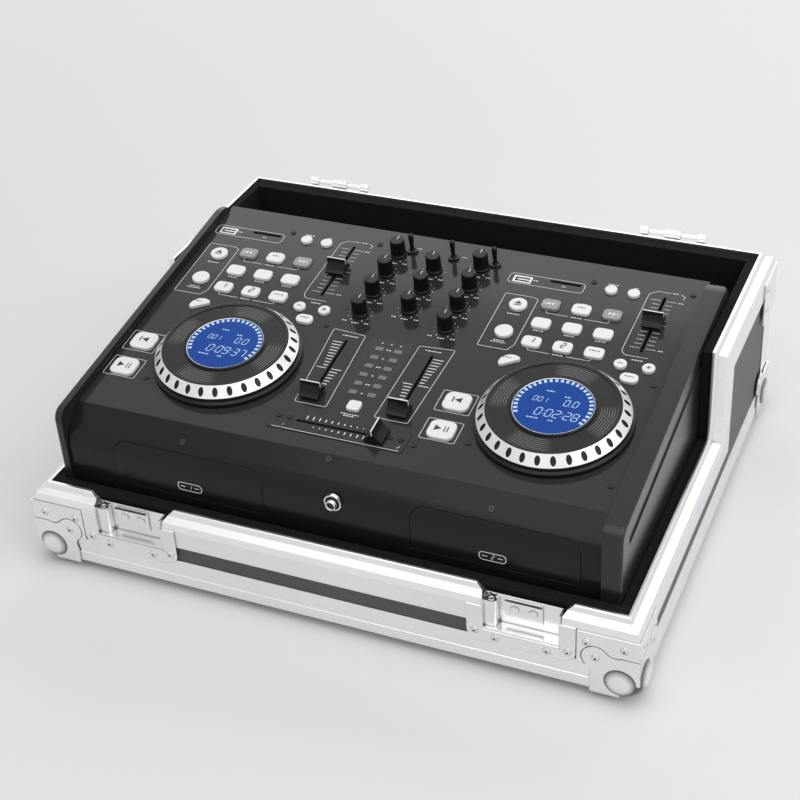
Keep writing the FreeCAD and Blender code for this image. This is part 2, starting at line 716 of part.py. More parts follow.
def make_rivets():
    out = V(0, -1, 0)
    left = V(-1, 0, 0)
    proud = HY + PLATE_T
    solids = []
    for frame in corner_frames():
        head = rivet(frame.multiply(FreeCAD.Placement(V(LOBE_AT, LOBE_AT, PLATE_T), FreeCAD.Rotation())))
        solids += four_ways(head)
    brace_z = LOW_Z - SHOULDER - LOBE_R
    to_latch = LATCH_INSET - DISH_FLANGE_W / 2
    spots = [(-HX + LOBE_R, brace_z, out), (-HX + to_latch - LOBE_R * 3 / 4, brace_z, out)]
    wide, narrow = DISH_W / 2 + LOBE_R / 2, DISH_W / 2 - LOBE_R
    for x, z in ((wide, (LOW_Z + CASE_BASE) / 2), (narrow, FLANGE_FLOOR + LOBE_R / 2)):
        spots += [(-LATCH_X + s * x, z, out) for s in (-1, 1)]
    for x, z, normal in spots:
        solids += both_sides(rivet(face_place(x, -proud, z, normal)))
    side = rivet(face_place(-HX - PLATE_T, -HY + LOBE_R, brace_z, left))
    solids += both_sides(side)
    for z in (HIGH_BRACE_H / 4, HIGH_BRACE_H * 3 / 4):
        height = HIGH_Z - SHOULDER - z
        solids += both_sides(rivet(face_place(-HX - PLATE_T, HY - BRACE_W * 3 / 4, height, left)))
        solids += both_sides(rivet(face_place(-HX + BRACE_W * 3 / 4, proud, height, V(0, 1, 0))))
    for x in (-1, 1):
        head = rivet(face_place(-HINGE_X + x * HINGE_W / 3, proud, HIGH_Z - HINGE_LEAF_H * 3 / 5, V(0, 1, 0)))
        solids += both_sides(head)
    add("rivets", solids)


def latch_post(x, y, z):
    """Post for the lid's turn-key: x is its left side, y its back and z its foot."""
    right, front, top = x + POST_W, y - POST_DEEP, LOW_Z - POST_DROP
    post = box(x, right, front, y, z, top)
    post = post.makeFillet(POST_W / 3, [e for e in post.Edges if upright_at(e, right, front)])
    middle = (x + POST_W / 2, y - POST_DEEP / 2)
    return post.cut(rod(POST_RING_R, *middle, top - POST_RING_DEPTH, top))


def make_latches():
    half = DISH_W / 2 - GAP
    back = -HY + DISH_DEPTH
    floor = DISH_FLOOR + GAP
    front = -HY - PLATE_T
    top = DISH_TOP
    x = -LATCH_X
    flange = slab(x, 0, DISH_FLANGE_W, PLATE_T, FLANGE_FLOOR, top)
    flange.translate(V(0, front + PLATE_T / 2, 0))
    flange = flange.makeFillet(FLANGE_R, [e for e in edges_along_y(flange) if e.CenterOfMass.z < floor])
    tub = box(x - half, x + half, front, back, floor, LOW_Z)
    tub_in = box(x - half + DISH_T, x + half - DISH_T, front - GAP, back - DISH_T, floor + DISH_T, HIGH_Z)
    dish = fused([flange, tub]).cut(tub_in)
    trim = box(x - half, x + half, -HY - PLATE_T, -HY, top, HIGH_Z)
    dish = dish.cut(trim)
    face = back - DISH_T
    bead = rod_x(DISH_BEAD_R, front, floor - DISH_BEAD_R / 2, x - half, x + half)
    outside = box(x - half, x + half, front - DISH_BEAD_R, front + PLATE_T / 2, CASE_BASE, floor)
    dish = fused([dish, bead.common(outside)])
    post = latch_post(x - half + DISH_T, face, floor + DISH_T)
    keeper_top = LOW_Z - SKIN
    keeper = fused([
        box(x - KEEPER_W / 2, x + KEEPER_W / 2, face - KEEPER_T, face, keeper_top - KEEPER_H, keeper_top),
        box(x - KEEPER_W / 2, x + KEEPER_W / 2, face - KEEPER_LIP, face, keeper_top - KEEPER_T, keeper_top)])
    proud = face - KEEPER_T
    middle = keeper_top - KEEPER_H / 2
    screws = [rod_y(RIVET_R, x + s * KEEPER_W / 4, middle, proud - RIVET_H, proud) for s in (-1, 1)]
    latch = [dish, post, keeper] + screws
    add("latch_dishes", latch + [moved_x(piece, 2 * LATCH_X) for piece in latch])


def make_lid_hinges():
    x = -HINGE_X
    axis_y = HY + PLATE_T
    axis_z = HIGH_Z + KNUCKLE_R
    leaf = box(x - HINGE_W / 2, x + HINGE_W / 2, HY, axis_y, HIGH_Z - HINGE_LEAF_H, axis_z)
    ends = [(-HINGE_W / 2, -HINGE_W / 2 + KNUCKLE_END), (-KNUCKLE_MID / 2, KNUCKLE_MID / 2),
            (HINGE_W / 2 - KNUCKLE_END, HINGE_W / 2)]
    knuckles = [rod_x(KNUCKLE_R, axis_y, axis_z, x + a, x + b) for a, b in ends]
    pin = rod_x(PIN_R, axis_y, axis_z, x - HINGE_W / 2, x + HINGE_W / 2)
    reach = axis_y + KNUCKLE_R
    notches = [box(x + a[1], x + b[0], HY - SKIN, reach, HIGH_Z - SKIN, axis_z + KNUCKLE_R)
               for a, b in zip(ends, ends[1:])]
    half = fused([leaf] + knuckles)
    half = cut(half, notches).fuse(pin).removeSplitter()
    add("lid_hinges", both_sides(half))


# ---- console shell ----
def slope_points():
    """Key points of the fascia's outer line: upper edge, start and centre of its bend."""
    slope = math.radians(FASCIA_SLOPE)
    top = DECK.multVec(V(0, DECK_FRONT - SEAM, 0))
    run = (top.y + FASCIA_R * math.sin(slope) - FASCIA_Y - FASCIA_R) / math.cos(slope)
    start = V(0, top.y - run * math.cos(slope), top.z - run * math.sin(slope))
    centre = V(0, FASCIA_Y + FASCIA_R, start.z - FASCIA_R * math.cos(slope))
    return top, start, centre


def fascia_solid(x0, x1):
    """The bent front skin between two planes of X."""
    top, start, centre = slope_points()
    slope = math.radians(FASCIA_SLOPE)
    drop = FASCIA_T / math.cos(math.radians(FASCIA_SLOPE - DECK_TILT))
    top_in = DECK.multVec(V(0, DECK_FRONT - SEAM, -drop))
    mid = (slope + math.pi / 2) / 2
    inner = FASCIA_R - FASCIA_T

    def bend(radius, angle):
        return V(x0, centre.y - radius * math.sin(angle), centre.z + radius * math.cos(angle))

    def at_x(point):
        return V(x0, point.y, point.z)

    square = math.pi / 2
    low_out = V(x0, FASCIA_Y, CONSOLE_Z)
    low_in = V(x0, FASCIA_Y + FASCIA_T, CONSOLE_Z)
    edges = [
        Part.LineSegment(at_x(top), bend(FASCIA_R, slope)).toShape(),
        Part.Arc(bend(FASCIA_R, slope), bend(FASCIA_R, mid), bend(FASCIA_R, square)).toShape(),
        Part.LineSegment(bend(FASCIA_R, square), low_out).toShape(),
        Part.LineSegment(low_out, low_in).toShape(),
        Part.LineSegment(low_in, bend(inner, square)).toShape(),
        Part.Arc(bend(inner, square), bend(inner, mid), bend(inner, slope)).toShape(),
        Part.LineSegment(bend(inner, slope), at_x(top_in)).toShape(),
        Part.LineSegment(at_x(top_in), at_x(top)).toShape()]
    return face_of(edges).extrude(V(x1 - x0, 0, 0))


def door_prism(side, grow):
    """Straight prism through the fascia with the door's outline; its upper corners are round."""
    x = TRAY_X[side]
    body = box(x - DOOR_W / 2 - grow, x + DOOR_W / 2 + grow, FASCIA_Y - FASCIA_T, FASCIA_Y + FASCIA_R,
               DOOR_Z0 - grow, DOOR_Z1 + grow)
    upper = [e for e in edges_along_y(body) if e.CenterOfMass.z > DOOR_Z1 - GAP]
    return body.makeFillet(DOOR_R + grow, upper)


def make_fascia():
    skin = fascia_solid(DECK_X0 + GAP, DECK_X1 - GAP)
    doors = [door_prism(side, DOOR_GAP) for side in TRAY_X]
    jack = rod_y(JACK_BUSH_R + GAP / 3, TRAY_MID, JACK_Z, FASCIA_Y - FASCIA_T, FASCIA_Y + FASCIA_R)
    screws = [screw_hole(spot) for spot in fascia_screw_places()]
    add("front_fascia", [cut(skin, doors + [jack] + screws)])


def cheek_outline():
    """Side view of a cheek: its four corners before rounding."""
    base = DECK.multVec(V(0, 0, CHEEK_RISE))
    slope = math.tan(math.radians(DECK_TILT))
    rear = REAR_Y + CHEEK_REAR_OVER
    front_z = base.z + (CHEEK_FRONT_Y - base.y) * slope
    rear_z = base.z + (rear - base.y) * slope
    return [(CHEEK_FRONT_Y, CONSOLE_Z), (rear, CONSOLE_Z), (rear, rear_z), (CHEEK_FRONT_Y, front_z)]


def edges_along_x(body, rear):
    """Upper edges across a cheek, at its front or at its rear."""
    across = [e for e in body.Edges if abs(e.tangentAt(e.FirstParameter).x) > ALONG]
    return [e for e in across if e.CenterOfMass.z > CONSOLE_Z + GAP and (e.CenterOfMass.y > REAR_Y) == rear]


def cheek(x0, x1, outer):
    """Side cheek between two planes of X; outer is the plane that faces away from the deck."""
    body = side_prism(cheek_outline(), x0, x1)
    body = body.makeFillet(CHEEK_FRONT_R, edges_along_x(body, False))
    body = body.makeFillet(CHEEK_REAR_R, edges_along_x(body, True))
    rim = [e for e in body.Edges if abs(e.CenterOfMass.x - outer) < GAP and e.BoundBox.XLength < GAP
           and e.BoundBox.ZMax > CONSOLE_Z + GAP]
    body = body.makeFillet(CHEEK_ROUND, rim)
    away = math.copysign(CHEEK_RIB_D, outer)
    low, high = sorted((outer, outer - away))
    top = -CHEEK_RISE
    groove = box(low, high, DECK_FRONT - CHEEK_FRONT_R, DECK_REAR - CHEEK_REAR_R, top - CHEEK_RIB_W, top)
    return body.cut(on_deck(groove))


def make_cheeks():
    left = cheek(CONSOLE_X0, DECK_X0, CONSOLE_X0)
    right = cheek(DECK_X1, CONSOLE_X1, CONSOLE_X1)
    add("side_cheeks", [left, right])


def make_chassis():
    """Folded pan: floor, sides and rear wall under the deck."""
    y0 = DOOR_BACK + GAP
    floor = box(DECK_X0, DECK_X1, y0, REAR_Y, CONSOLE_Z, CONSOLE_Z + SHEET)
    top_y = DECK.multVec(V(0, DECK_FRONT, -DECK_T)).y + FASCIA_T
    high = 2 * DECK_Z
    outline = [(y0, CONSOLE_Z), (REAR_Y, CONSOLE_Z), (REAR_Y, high), (top_y, high),
               (top_y, DOOR_Z1 - FASCIA_T), (y0, DOOR_Z0)]
    sides = [side_prism(outline, x, x + SHEET) for x in (DECK_X0, DECK_X1 - SHEET)]
    rear = box(DECK_X0, DECK_X1, REAR_Y - SHEET, REAR_Y, CONSOLE_Z, high)
    above = on_deck(box(-CASE_W, CASE_W, -CASE_D, CASE_D, -DECK_T, CASE_D))
    pan = cut(fused([floor, rear] + sides), [above])
    holes = [rod_y(RCA_HOLE_R, rca_x(i), RCA_Z, REAR_Y - RCA_LEN, REAR_Y + RCA_LEN) for i in range(RCA_COUNT)]
    holes.append(wall_block(INLET_X, INLET, REAR_Y - RCA_LEN, REAR_Y + RCA_LEN))
    holes.append(wall_block(SWITCH_AT, SWITCH_SIZE, REAR_Y - RCA_LEN, REAR_Y + RCA_LEN))
    add("chassis_pan", [cut(pan, holes)])


def wall_block(x, size, y0, y1):
    """Block through the rear wall at the height of the mains inlet."""
    wide, high = size
    return box(x - wide / 2, x + wide / 2, y0, y1, INLET_Z - high / 2, INLET_Z + high / 2)


def rca_x(i):
    return RCA_X + i * RCA_PITCH


# ---- screws ----
def deck_point(x, v, w):
    return DECK.multiply(FreeCAD.Placement(V(x, v, w), FreeCAD.Rotation()))


def deck_screw_places():
    """Screws that hold the deck plate; each deck has the same pattern round its wheel."""
    places = [(x + u, v) for x in JOG_X.values() for u, v in SCREW_SPOTS]
    return [deck_point(x, v, 0) for x, v in places + list(CORNER_SCREWS)]


def plate_screw_places():
    return [deck_point(CROSS_X + u, CROSS_V + PLATE_SCREW_DV, CROSS_PLATE_T) for u in PLATE_SCREWS]


def fascia_screw_places():
    """Screws on the sloping front, one over each tray and one in the middle."""
    top, start, _ = slope_points()
    tilt = FreeCAD.Rotation(V(1, 0, 0), FASCIA_SLOPE)
    places = []
    for x, share in zip(FASCIA_SCREWS, FASCIA_SCREW_SHARES):
        point = top + (start - top) * share
        places.append(FreeCAD.Placement(V(x, point.y, point.z), tilt))
    return places


def screw_hole(place):
    return placed(rod(SCREW_SHANK_R, 0, 0, -SCREW_LEN, SCREW_LEN), place)


def screw(place):
    shank = rod(SCREW_SHANK_R, 0, 0, SHEET - SCREW_LEN, SCREW_HEAD)
    head = fused([rod(SCREW_R, 0, 0, 0, SCREW_HEAD), shank])
    slots = [slab(0, 0, SCREW_SLOT, SCREW_HEAD / 2, SCREW_HEAD / 2, SCREW_HEAD * 2),
             slab(0, 0, SCREW_HEAD / 2, SCREW_SLOT, SCREW_HEAD / 2, SCREW_HEAD * 2)]
    return placed(cut(head, slots), place)


def make_screws():
    places = deck_screw_places() + plate_screw_places() + fascia_screw_places()
    add("deck_screws", [screw(place) for place in places])


# ---- keys ----
def deck_keys(side):
    """All keys of one deck: name of the group, middle, size and turn."""
    rect = (KEY_W, KEY_D, KEY_R)
    columns = [KEY_COL_AT + i * KEY_COL for i in range(KEY_COUNT)]
    keys = [("keypad", (u, v), rect, 0) for v in KEY_ROWS for u in columns]
    keys += [("keypad", SINGLE_AT, (2 * ROUND_KEY_R,) * 3, 0), ("keypad", MOON_AT, MOON_KEY, MOON_TURN)]
    keys += [("keypad", at, (2 * SMALL_KEY_R,) * 3, 0) for at in (PROGRAM_AT, SID_AT)]
    keys += [("pitch_keys", at, (2 * SMALL_KEY_R,) * 3, 0) for at in (MINUS_AT, PLUS_AT)]
    keys += [("pitch_keys", PITCH_KEY_AT, PITCH_KEY, 0), ("eject_key", EJECT_AT, (2 * ROUND_KEY_R,) * 3, 0)]
    keys += [("cue_key", CUE_AT, CUE_KEY, 0), ("play_key", PLAY_AT, CUE_KEY, 0)]
    return [(side + "_" + group, (JOG_X[side] + u, v), size, turn) for group, (u, v), size, turn in keys]


def all_keys():
    return deck_keys("left") + deck_keys("right") + [("relay_key", RELAY_AT, RELAY_KEY, 0)]


def key_block(size, grow, z0, z1):
    """Round, half-moon, oval or rounded block of a key, about the origin."""
    wide, deep, radius = size
    if radius >= wide:
        return rod(wide / 2 + grow, 0, 0, z0, z1)
    if size == MOON_KEY:
        return moon_block(wide, deep, radius, grow, z0, z1)
    return rounded(0, 0, wide + 2 * grow, deep + 2 * grow, radius + grow, z0, z1)


def moon_block(wide, deep, radius, grow, z0, z1):
    """Segment of a disc with its flat side towards the front."""
    disc_r = (wide * wide / 4 + deep * deep) / (2 * deep)
    disc = rod(disc_r + grow, 0, deep / 2 - disc_r, z0, z1)
    flat = -deep / 2 - grow
    moon = disc.common(box(-wide, wide, flat, wide, z0, z1))
    ends = [e for e in moon.Edges if abs(e.BoundBox.ZLength) > (z1 - z0) / 2 and e.CenterOfMass.y < flat + GAP]
    return moon.makeFillet(radius + grow, ends)


def key_shape(key, grow, z0, z1):
    _, (u, v), size, turn = key
    block = key_block(size, grow, z0, z1)
    block.rotate(V(0, 0, 0), V(0, 0, 1), turn)
    block.translate(V(u, v, 0))
    return block


def key_cap(key):
    """Cap with a flange under the deck that keeps it in its cut-out."""
    under = -DECK_T - GAP
    shank = key_shape(key, 0, under - KEY_FLANGE_T, KEY_UP)
    top = [e for e in shank.Edges if e.CenterOfMass.z > KEY_UP - GAP and abs(e.BoundBox.ZLength) < GAP]
    shank = shank.makeFillet(KEY_ROUND, top)
    flange = key_shape(key, KEY_FLANGE, under - KEY_FLANGE_T, under)
    return on_deck(fused([shank, flange]))


def make_keys():
    groups = {}
    for key in all_keys():
        groups.setdefault(key[0], []).append(key_cap(key))
    for name, caps in groups.items():
        add(name, caps)


# ---- jog wheels ----
def ring_line():
    """Outer corner and top corner of the ring's slope, as (radius, height)."""
    foot = BASE_H + GAP + JOG_RING_EDGE
    return (JOG_RING_R, foot), (JOG_TOP_R, JOG_TOP)


def jog_ring(x):
    (r0, z0), (r1, z1) = ring_line()
    low = BASE_H + GAP
    wall = JOG_RING_WALL
    ring = turned([(r0, low), (r0, z0), (r1, z1), (r1 - wall, z1), (r1 - wall, z1 - PLATE_DROP - PLATE_TOP_T),
                   (r1, z1 - PLATE_DROP - PLATE_TOP_T), (r0 - wall, low)], x, 0)
    along = V(r1 - r0, 0, z1 - z0).normalize()
    out = V(z1 - z0, 0, r0 - r1).normalize()
    middle = V((r0 + r1) / 2, 0, (z0 + z1) / 2)
    oval = Part.Ellipse(middle + along * (DIMPLE[0] / 2), middle + V(0, DIMPLE[1] / 2, 0), middle)
    pocket = face_of([oval.toShape()]).extrude(out * (2 * DIMPLE_D))
    pocket.translate(out * -DIMPLE_D)
    pockets = []
    for i in range(DIMPLES):
        copy = pocket.copy()
        copy.rotate(V(0, 0, 0), V(0, 0, 1), 360 * i / DIMPLES)
        copy.translate(V(x, 0, 0))
        pockets.append(copy)
    return cut(ring, pockets)


def jog_plate(x):
    """Top plate with the hub sleeve that turns on the display pillar."""
    bore = DISPLAY_R + RUN_CLEAR
    rim = JOG_TOP_R - JOG_RING_WALL
    top = JOG_TOP - PLATE_DROP
    low = top - PLATE_TOP_T
    sleeve = bore + HUB_WALL
    outline = [(bore, -HUB_DEPTH), (sleeve, -HUB_DEPTH), (sleeve, low), (rim, low), (rim, top), (bore, top)]
    return turned(outline, x, 0)


def jog_base(x):
    """Fixed dish under the wheel; its collar carries the display pillar."""
    wall = BASE_WALL_R
    inner = wall - BASE_WALL
    floor = SHEET - BASE_DEPTH
    outline = [
        (DISPLAY_R, -BASE_DEPTH), (wall, -BASE_DEPTH), (wall, 0), (BASE_R, 0), (BASE_R - GAP, BASE_H - SHEET),
        (JOG_RING_R, BASE_H), (inner, BASE_H), (inner, floor), (DISPLAY_R, floor)]
    return turned(outline, x, 0)


def display(x):
    """Round display module: pillar with a sunk window."""
    glass = DISPLAY_TOP - GLASS_DROP
    outline = [
        (0, -BASE_DEPTH), (DISPLAY_R, -BASE_DEPTH), (DISPLAY_R, glass), (DISPLAY_R - GLASS_DROP, DISPLAY_TOP),
        (DISPLAY_GLASS_R, DISPLAY_TOP), (DISPLAY_GLASS_R, glass), (0, glass)]
    return turned(outline, x, 0)


def make_jogs():
    for side, x in JOG_X.items():
        add(side + "_jog_wheel", [on_deck(jog_ring(x)), on_deck(jog_plate(x))])
    add("jog_bases", [on_deck(jog_base(x)) for x in JOG_X.values()])
    add("display_modules", [on_deck(display(x)) for x in JOG_X.values()])


# ---- faders ----
def fader_list():
    """Every fader: node, middle of its slot, slot length, resting place along it and turn."""
    faders = [("channel_fader_%d" % (i + 1), CH_X[i], CH_V, CH_SLOT, CH_REST[i], 0) for i in (0, 1)]
    faders.append(("crossfader", CROSS_X, CROSS_V, CROSS_SLOT, CROSS_REST, 90))
    for side, x in JOG_X.items():
        faders.append((side + "_pitch_fader", x + PITCH_DX, PITCH_V, PITCH_SLOT, PITCH_REST, 0))
    return faders


def fader_place(fader, along):
    """Placement whose local Y runs along the slot, towards the rear or, if turned, to the left."""
    _, x, v, _, _, turn = fader
    turned_by = FreeCAD.Placement(V(x, v, 0), FreeCAD.Rotation(V(0, 0, 1), turn))
    return DECK.multiply(turned_by).multiply(FreeCAD.Placement(V(0, along, 0), FreeCAD.Rotation()))


def fader_cap(fader):
    """Wedge-shaped cap on a thin stem, with the slider that keeps it in the body."""
    half = CAP_L / 2
    z0 = CAP_GAP
    foot = CAP_GAP + CAP_FOOT
    z1 = CAP_GAP + CAP_H
    mid_y = (half + CAP_RIDGE) / 2 - CAP_HOLLOW
    mid_z = (foot + z1) / 2 - CAP_HOLLOW
    edges = [
        Part.LineSegment(V(0, -half, z0), V(0, half, z0)).toShape(),
        Part.LineSegment(V(0, half, z0), V(0, half, foot)).toShape(),
        Part.Arc(V(0, half, foot), V(0, mid_y, mid_z), V(0, CAP_RIDGE, z1)).toShape(),
        Part.LineSegment(V(0, CAP_RIDGE, z1), V(0, -CAP_RIDGE, z1)).toShape(),
        Part.Arc(V(0, -CAP_RIDGE, z1), V(0, -mid_y, mid_z), V(0, -half, foot)).toShape(),
        Part.LineSegment(V(0, -half, foot), V(0, -half, z0)).toShape()]
    cap = face_of(edges).extrude(V(CAP_W, 0, 0))
    cap.translate(V(-CAP_W / 2, 0, 0))
    bottom = -DECK_T - FADER_BODY_H + FADER_WALL + GAP
    stem = slab(0, 0, STEM_T, STEM_L, bottom, z0)
    slider = slab(0, 0, SLIDER_W, STEM_L, bottom, bottom + SLIDER_T)
    rest = fader[4] if fader[5] == 0 else -fader[4]
    return placed(fused([cap, stem, slider]), fader_place(fader, rest))


def fader_slot(fader, z0, z1):
    return placed(slab(0, 0, SLOT_W, fader[3], z0, z1), fader_place(fader, 0))


def fader_body(fader):
    """Channel under the deck that the slider runs in."""
    top = -DECK_T
    length = fader[3] + 2 * FADER_END
    body = slab(0, 0, FADER_BODY_W, length, top - FADER_BODY_H, top)
    inside = slab(0, 0, SLIDER_W + 2 * GAP, fader[3] + GAP, top - FADER_BODY_H + FADER_WALL, top - FADER_WALL)
    mouth = slab(0, 0, SLOT_W, fader[3], top - FADER_WALL - GAP, top + GAP)
    return placed(cut(body, [inside, mouth]), fader_place(fader, 0))


def make_faders():
    for fader in fader_list():
        add(fader[0], [fader_cap(fader)])


def cross_plate():
    """Thin plate round the crossfader's slot."""
    plate = rounded(CROSS_X, CROSS_V, CROSS_PLATE[0], CROSS_PLATE[1], CROSS_PLATE_R, 0, CROSS_PLATE_T)
    return on_deck(plate)


def make_cross_plate():
    tools = [screw_hole(place) for place in plate_screw_places()]
    tools.append(fader_slot(fader_list()[2], -GAP, CROSS_PLATE_T + GAP))
    add("crossfader_plate", [cut(cross_plate(), tools)])


# ---- knobs ----
def knob_list():
    """Every rotary knob: node, u and v of its shaft."""
    knobs = []
    for name, shift in (("ch1", -KNOB_COL), ("ch2", KNOB_COL)):
        for i in range(KNOB_ROWS):
            knobs.append(("%s_knob_%d" % (name, i + 1), KNOB_X + shift, KNOB_V + i * KNOB_PITCH))
    knobs += [("master_knob_%d" % (i + 1), KNOB_X, MASTER_V + i * KNOB_PITCH) for i in range(KNOB_ROWS - 1)]
    return knobs


def knob_shape(x, v):
    """Fluted knob and the shaft it is pressed on."""
    low = KNOB_GAP
    top = KNOB_GAP + KNOB_H
    waist = KNOB_R - FLUTE_R
    outline = [
        (0, low), (KNOB_R, low), (KNOB_R, low + KNOB_SKIRT), (waist, low + KNOB_SKIRT + FLUTE_R),
        (waist - KNOB_DRAFT, top - KNOB_BEVEL), (waist - KNOB_DRAFT - KNOB_BEVEL, top), (0, top)]
    body = turned(outline, 0, 0)
    flutes = []
    for i in range(KNOB_FLUTES):
        angle = 2 * math.pi * i / KNOB_FLUTES
        x1, y1 = waist * math.cos(angle), waist * math.sin(angle)
        flutes.append(rod(FLUTE_R, x1, y1, low + KNOB_SKIRT + 2 * FLUTE_R, top + GAP))
    flutes.append(slab(0, KNOB_R / 2 + POINTER_DEPTH, POINTER_W, KNOB_R, top - POINTER_DEPTH, top + GAP))
    body = cut(body, flutes)
    shaft = rod(POT_SHAFT_R, 0, 0, -SOCKET_DEPTH + SHEET, low)
    whole = fused([body, shaft])
    whole.translate(V(x, v, 0))
    return on_deck(whole)


def make_knobs():
    for name, x, v in knob_list():
        add(name, [knob_shape(x, v)])


def pot_body(x, v):
    """Potentiometer under the deck, with the bush that guides the shaft."""
    top = -DECK_T
    case = slab(x, v, POT_W, POT_W, BOARD_W, top)
    bush = rod(BUSH_R, x, v, top, 0)
    return on_deck(fused([case, bush]).cut(rod(POT_SHAFT_R + RUN_CLEAR, x, v, BOARD_W - GAP, GAP)))


# ---- toggle switches ----
def toggle_list():
    columns = (("ch1", -1), ("cue", 0), ("ch2", 1))
    return [("toggle_%s" % name, KNOB_X + i * KNOB_COL + TOGGLE_DX, TOGGLE_V) for name, i in columns]


def toggle_lever(x, v):
    """Bat lever with the ball it tilts on."""
    z = TOGGLE_PIVOT
    ball = Part.makeSphere(TOGGLE_BALL_R, V(x, v, z))
    bat = Part.makeCone(TOGGLE_NECK_R, TOGGLE_TIP_R, TOGGLE_LEVER - TOGGLE_TIP_R, V(x, v, z))
    tip = Part.makeSphere(TOGGLE_TIP_R, V(x, v, z + TOGGLE_LEVER - TOGGLE_TIP_R))
    return on_deck(fused([ball, bat, tip]))


def toggle_body(x, v):
    """Threaded bush with its nut, and the switch block under the deck."""
    nut = rod(TOGGLE_NUT_R, x, v, 0, TOGGLE_NUT_H)
    block = slab(x, v, TOGGLE_W, POT_W, BOARD_W, -DECK_T)
    bush = rod(BUSH_R, x, v, -DECK_T, TOGGLE_NUT_H)
    socket = Part.makeSphere(TOGGLE_BALL_R + GAP, V(x, v, TOGGLE_PIVOT))
    mouth = Part.makeCone(TOGGLE_NECK_R + GAP, BUSH_R - GAP, TOGGLE_NUT_H, V(x, v, TOGGLE_PIVOT))
    return on_deck(cut(fused([nut, block, bush]), [socket, mouth]))


def make_toggles():
    for name, x, v in toggle_list():
        add(name, [toggle_lever(x, v)])


# ---- deck plate ----
def meter_spots():
    spots = []
    for i in range(METER_ROWS):
        v = METER_V + (i - (METER_ROWS - 1) / 2) * METER_PITCH
        spots += [(METER_X - METER_DX, v), (METER_X + METER_DX, v)]
    return spots


def make_meter():
    low = -DECK_T - KEY_FLANGE_T
    wide, deep = METER_LED
    add("level_meter", [on_deck(slab(x, v, wide, deep, low, METER_PROUD)) for x, v in meter_spots()])


def port_spots():
    """USB and card sockets of both decks: middle, mouth size and recess size."""
    spots = []
    for x in JOG_X.values():
        spots.append((x + USB_AT[0], USB_AT[1], USB, USB_RECESS))
        spots.append((x + CARD_AT[0], CARD_AT[1], CARD, (CARD[0] + 2 * PORT_WALL, CARD[1] + 2 * PORT_WALL)))
    return spots


def make_ports():
    solids = []
    for x, v, mouth, recess in port_spots():
        body = slab(x, v, recess[0], recess[1], -PORT_DEPTH, 0)
        hole = slab(x, v, mouth[0], mouth[1], PORT_WALL - PORT_DEPTH, GAP)
        shell = cut(body, [hole])
        if mouth == USB:
            wide = USB[0] - 2 * PORT_WALL
            tongue = slab(x, v + USB[1] / 5, wide, USB[1] / 3, PORT_WALL - PORT_DEPTH, -PORT_WALL)
            shell = fused([shell, tongue])
        solids.append(on_deck(shell))
    add("media_ports", solids)


def make_deck():
    plate = box(DECK_X0 + GAP, DECK_X1 - GAP, DECK_FRONT, DECK_REAR, -DECK_T, 0)
    below = -DECK_T - GAP
    tools = [key_shape(key, KEY_GAP, below, GAP) for key in all_keys()]
    tools += [rod(BASE_WALL_R + GAP / 3, x, 0, below, GAP) for x in JOG_X.values()]
    tools += [rod(BUSH_R + GAP / 3, x, v, below, GAP) for _, x, v in knob_list() + toggle_list()]
    tools += [slab(x, v, METER_LED[0], METER_LED[1], below, GAP) for x, v in meter_spots()]
    tools += [slab(x, v, recess[0], recess[1], below, GAP) for x, v, _, recess in port_spots()]
    plate = on_deck(cut(plate, tools))
    slots = [fader_slot(fader, below, GAP) for fader in fader_list()]
    screws = [screw_hole(place) for place in deck_screw_places() + plate_screw_places()]
    add("deck_plate", [cut(plate, slots + screws)])


# ---- inside ----
def deck_board(x, low):
    """Key board round the rear and left of one wheel, with cut-outs for the wheel and the sockets."""
    inner = JOG_RING_R + BOARD_MARGIN
    far = x - BOARD_REACH
    board = fused([box(far, x + inner, BOARD_V, DECK_REAR - BOARD_MARGIN, low, BOARD_W),
                   box(far, x - inner, -BOARD_V, BOARD_V, low, BOARD_W)])
    tools = [rod(BASE_WALL_R + 3 * GAP, x, 0, low - GAP, BOARD_W + GAP)]
    mixer = MAIN_BOARD[0] / 2 + SLIDE_GAP
    tools.append(box(MIX_X - mixer, MIX_X + mixer, -CASE_D, CASE_D, low - GAP, BOARD_W + GAP))
    for px, v, _, recess in port_spots():
        tools.append(slab(px, v, recess[0] + SLIDE_GAP, recess[1] + SLIDE_GAP, low - GAP, BOARD_W + GAP))
    return on_deck(cut(board, tools))


def make_boards():
    """Boards under the deck with their switches, potentiometers and fader bodies."""
    low = BOARD_W - BOARD_T
    mixer = on_deck(slab(MIX_X, MAIN_BOARD_V, MAIN_BOARD[0], MAIN_BOARD[1], low, BOARD_W))
    boards = [mixer] + [deck_board(x, low) for x in JOG_X.values()]
    top = -DECK_T - GAP - KEY_FLANGE_T - KEY_TRAVEL - GAP
    switches = [on_deck(slab(u, v, SWITCH_W, SWITCH_W, BOARD_W, top)) for _, (u, v), _, _ in all_keys()]
    controls = [pot_body(x, v) for _, x, v in knob_list()] + [toggle_body(x, v) for _, x, v in toggle_list()]
    faders = [fader_body(fader) for fader in fader_list()]
    add("control_boards", boards + switches + controls + faders + power_supply())


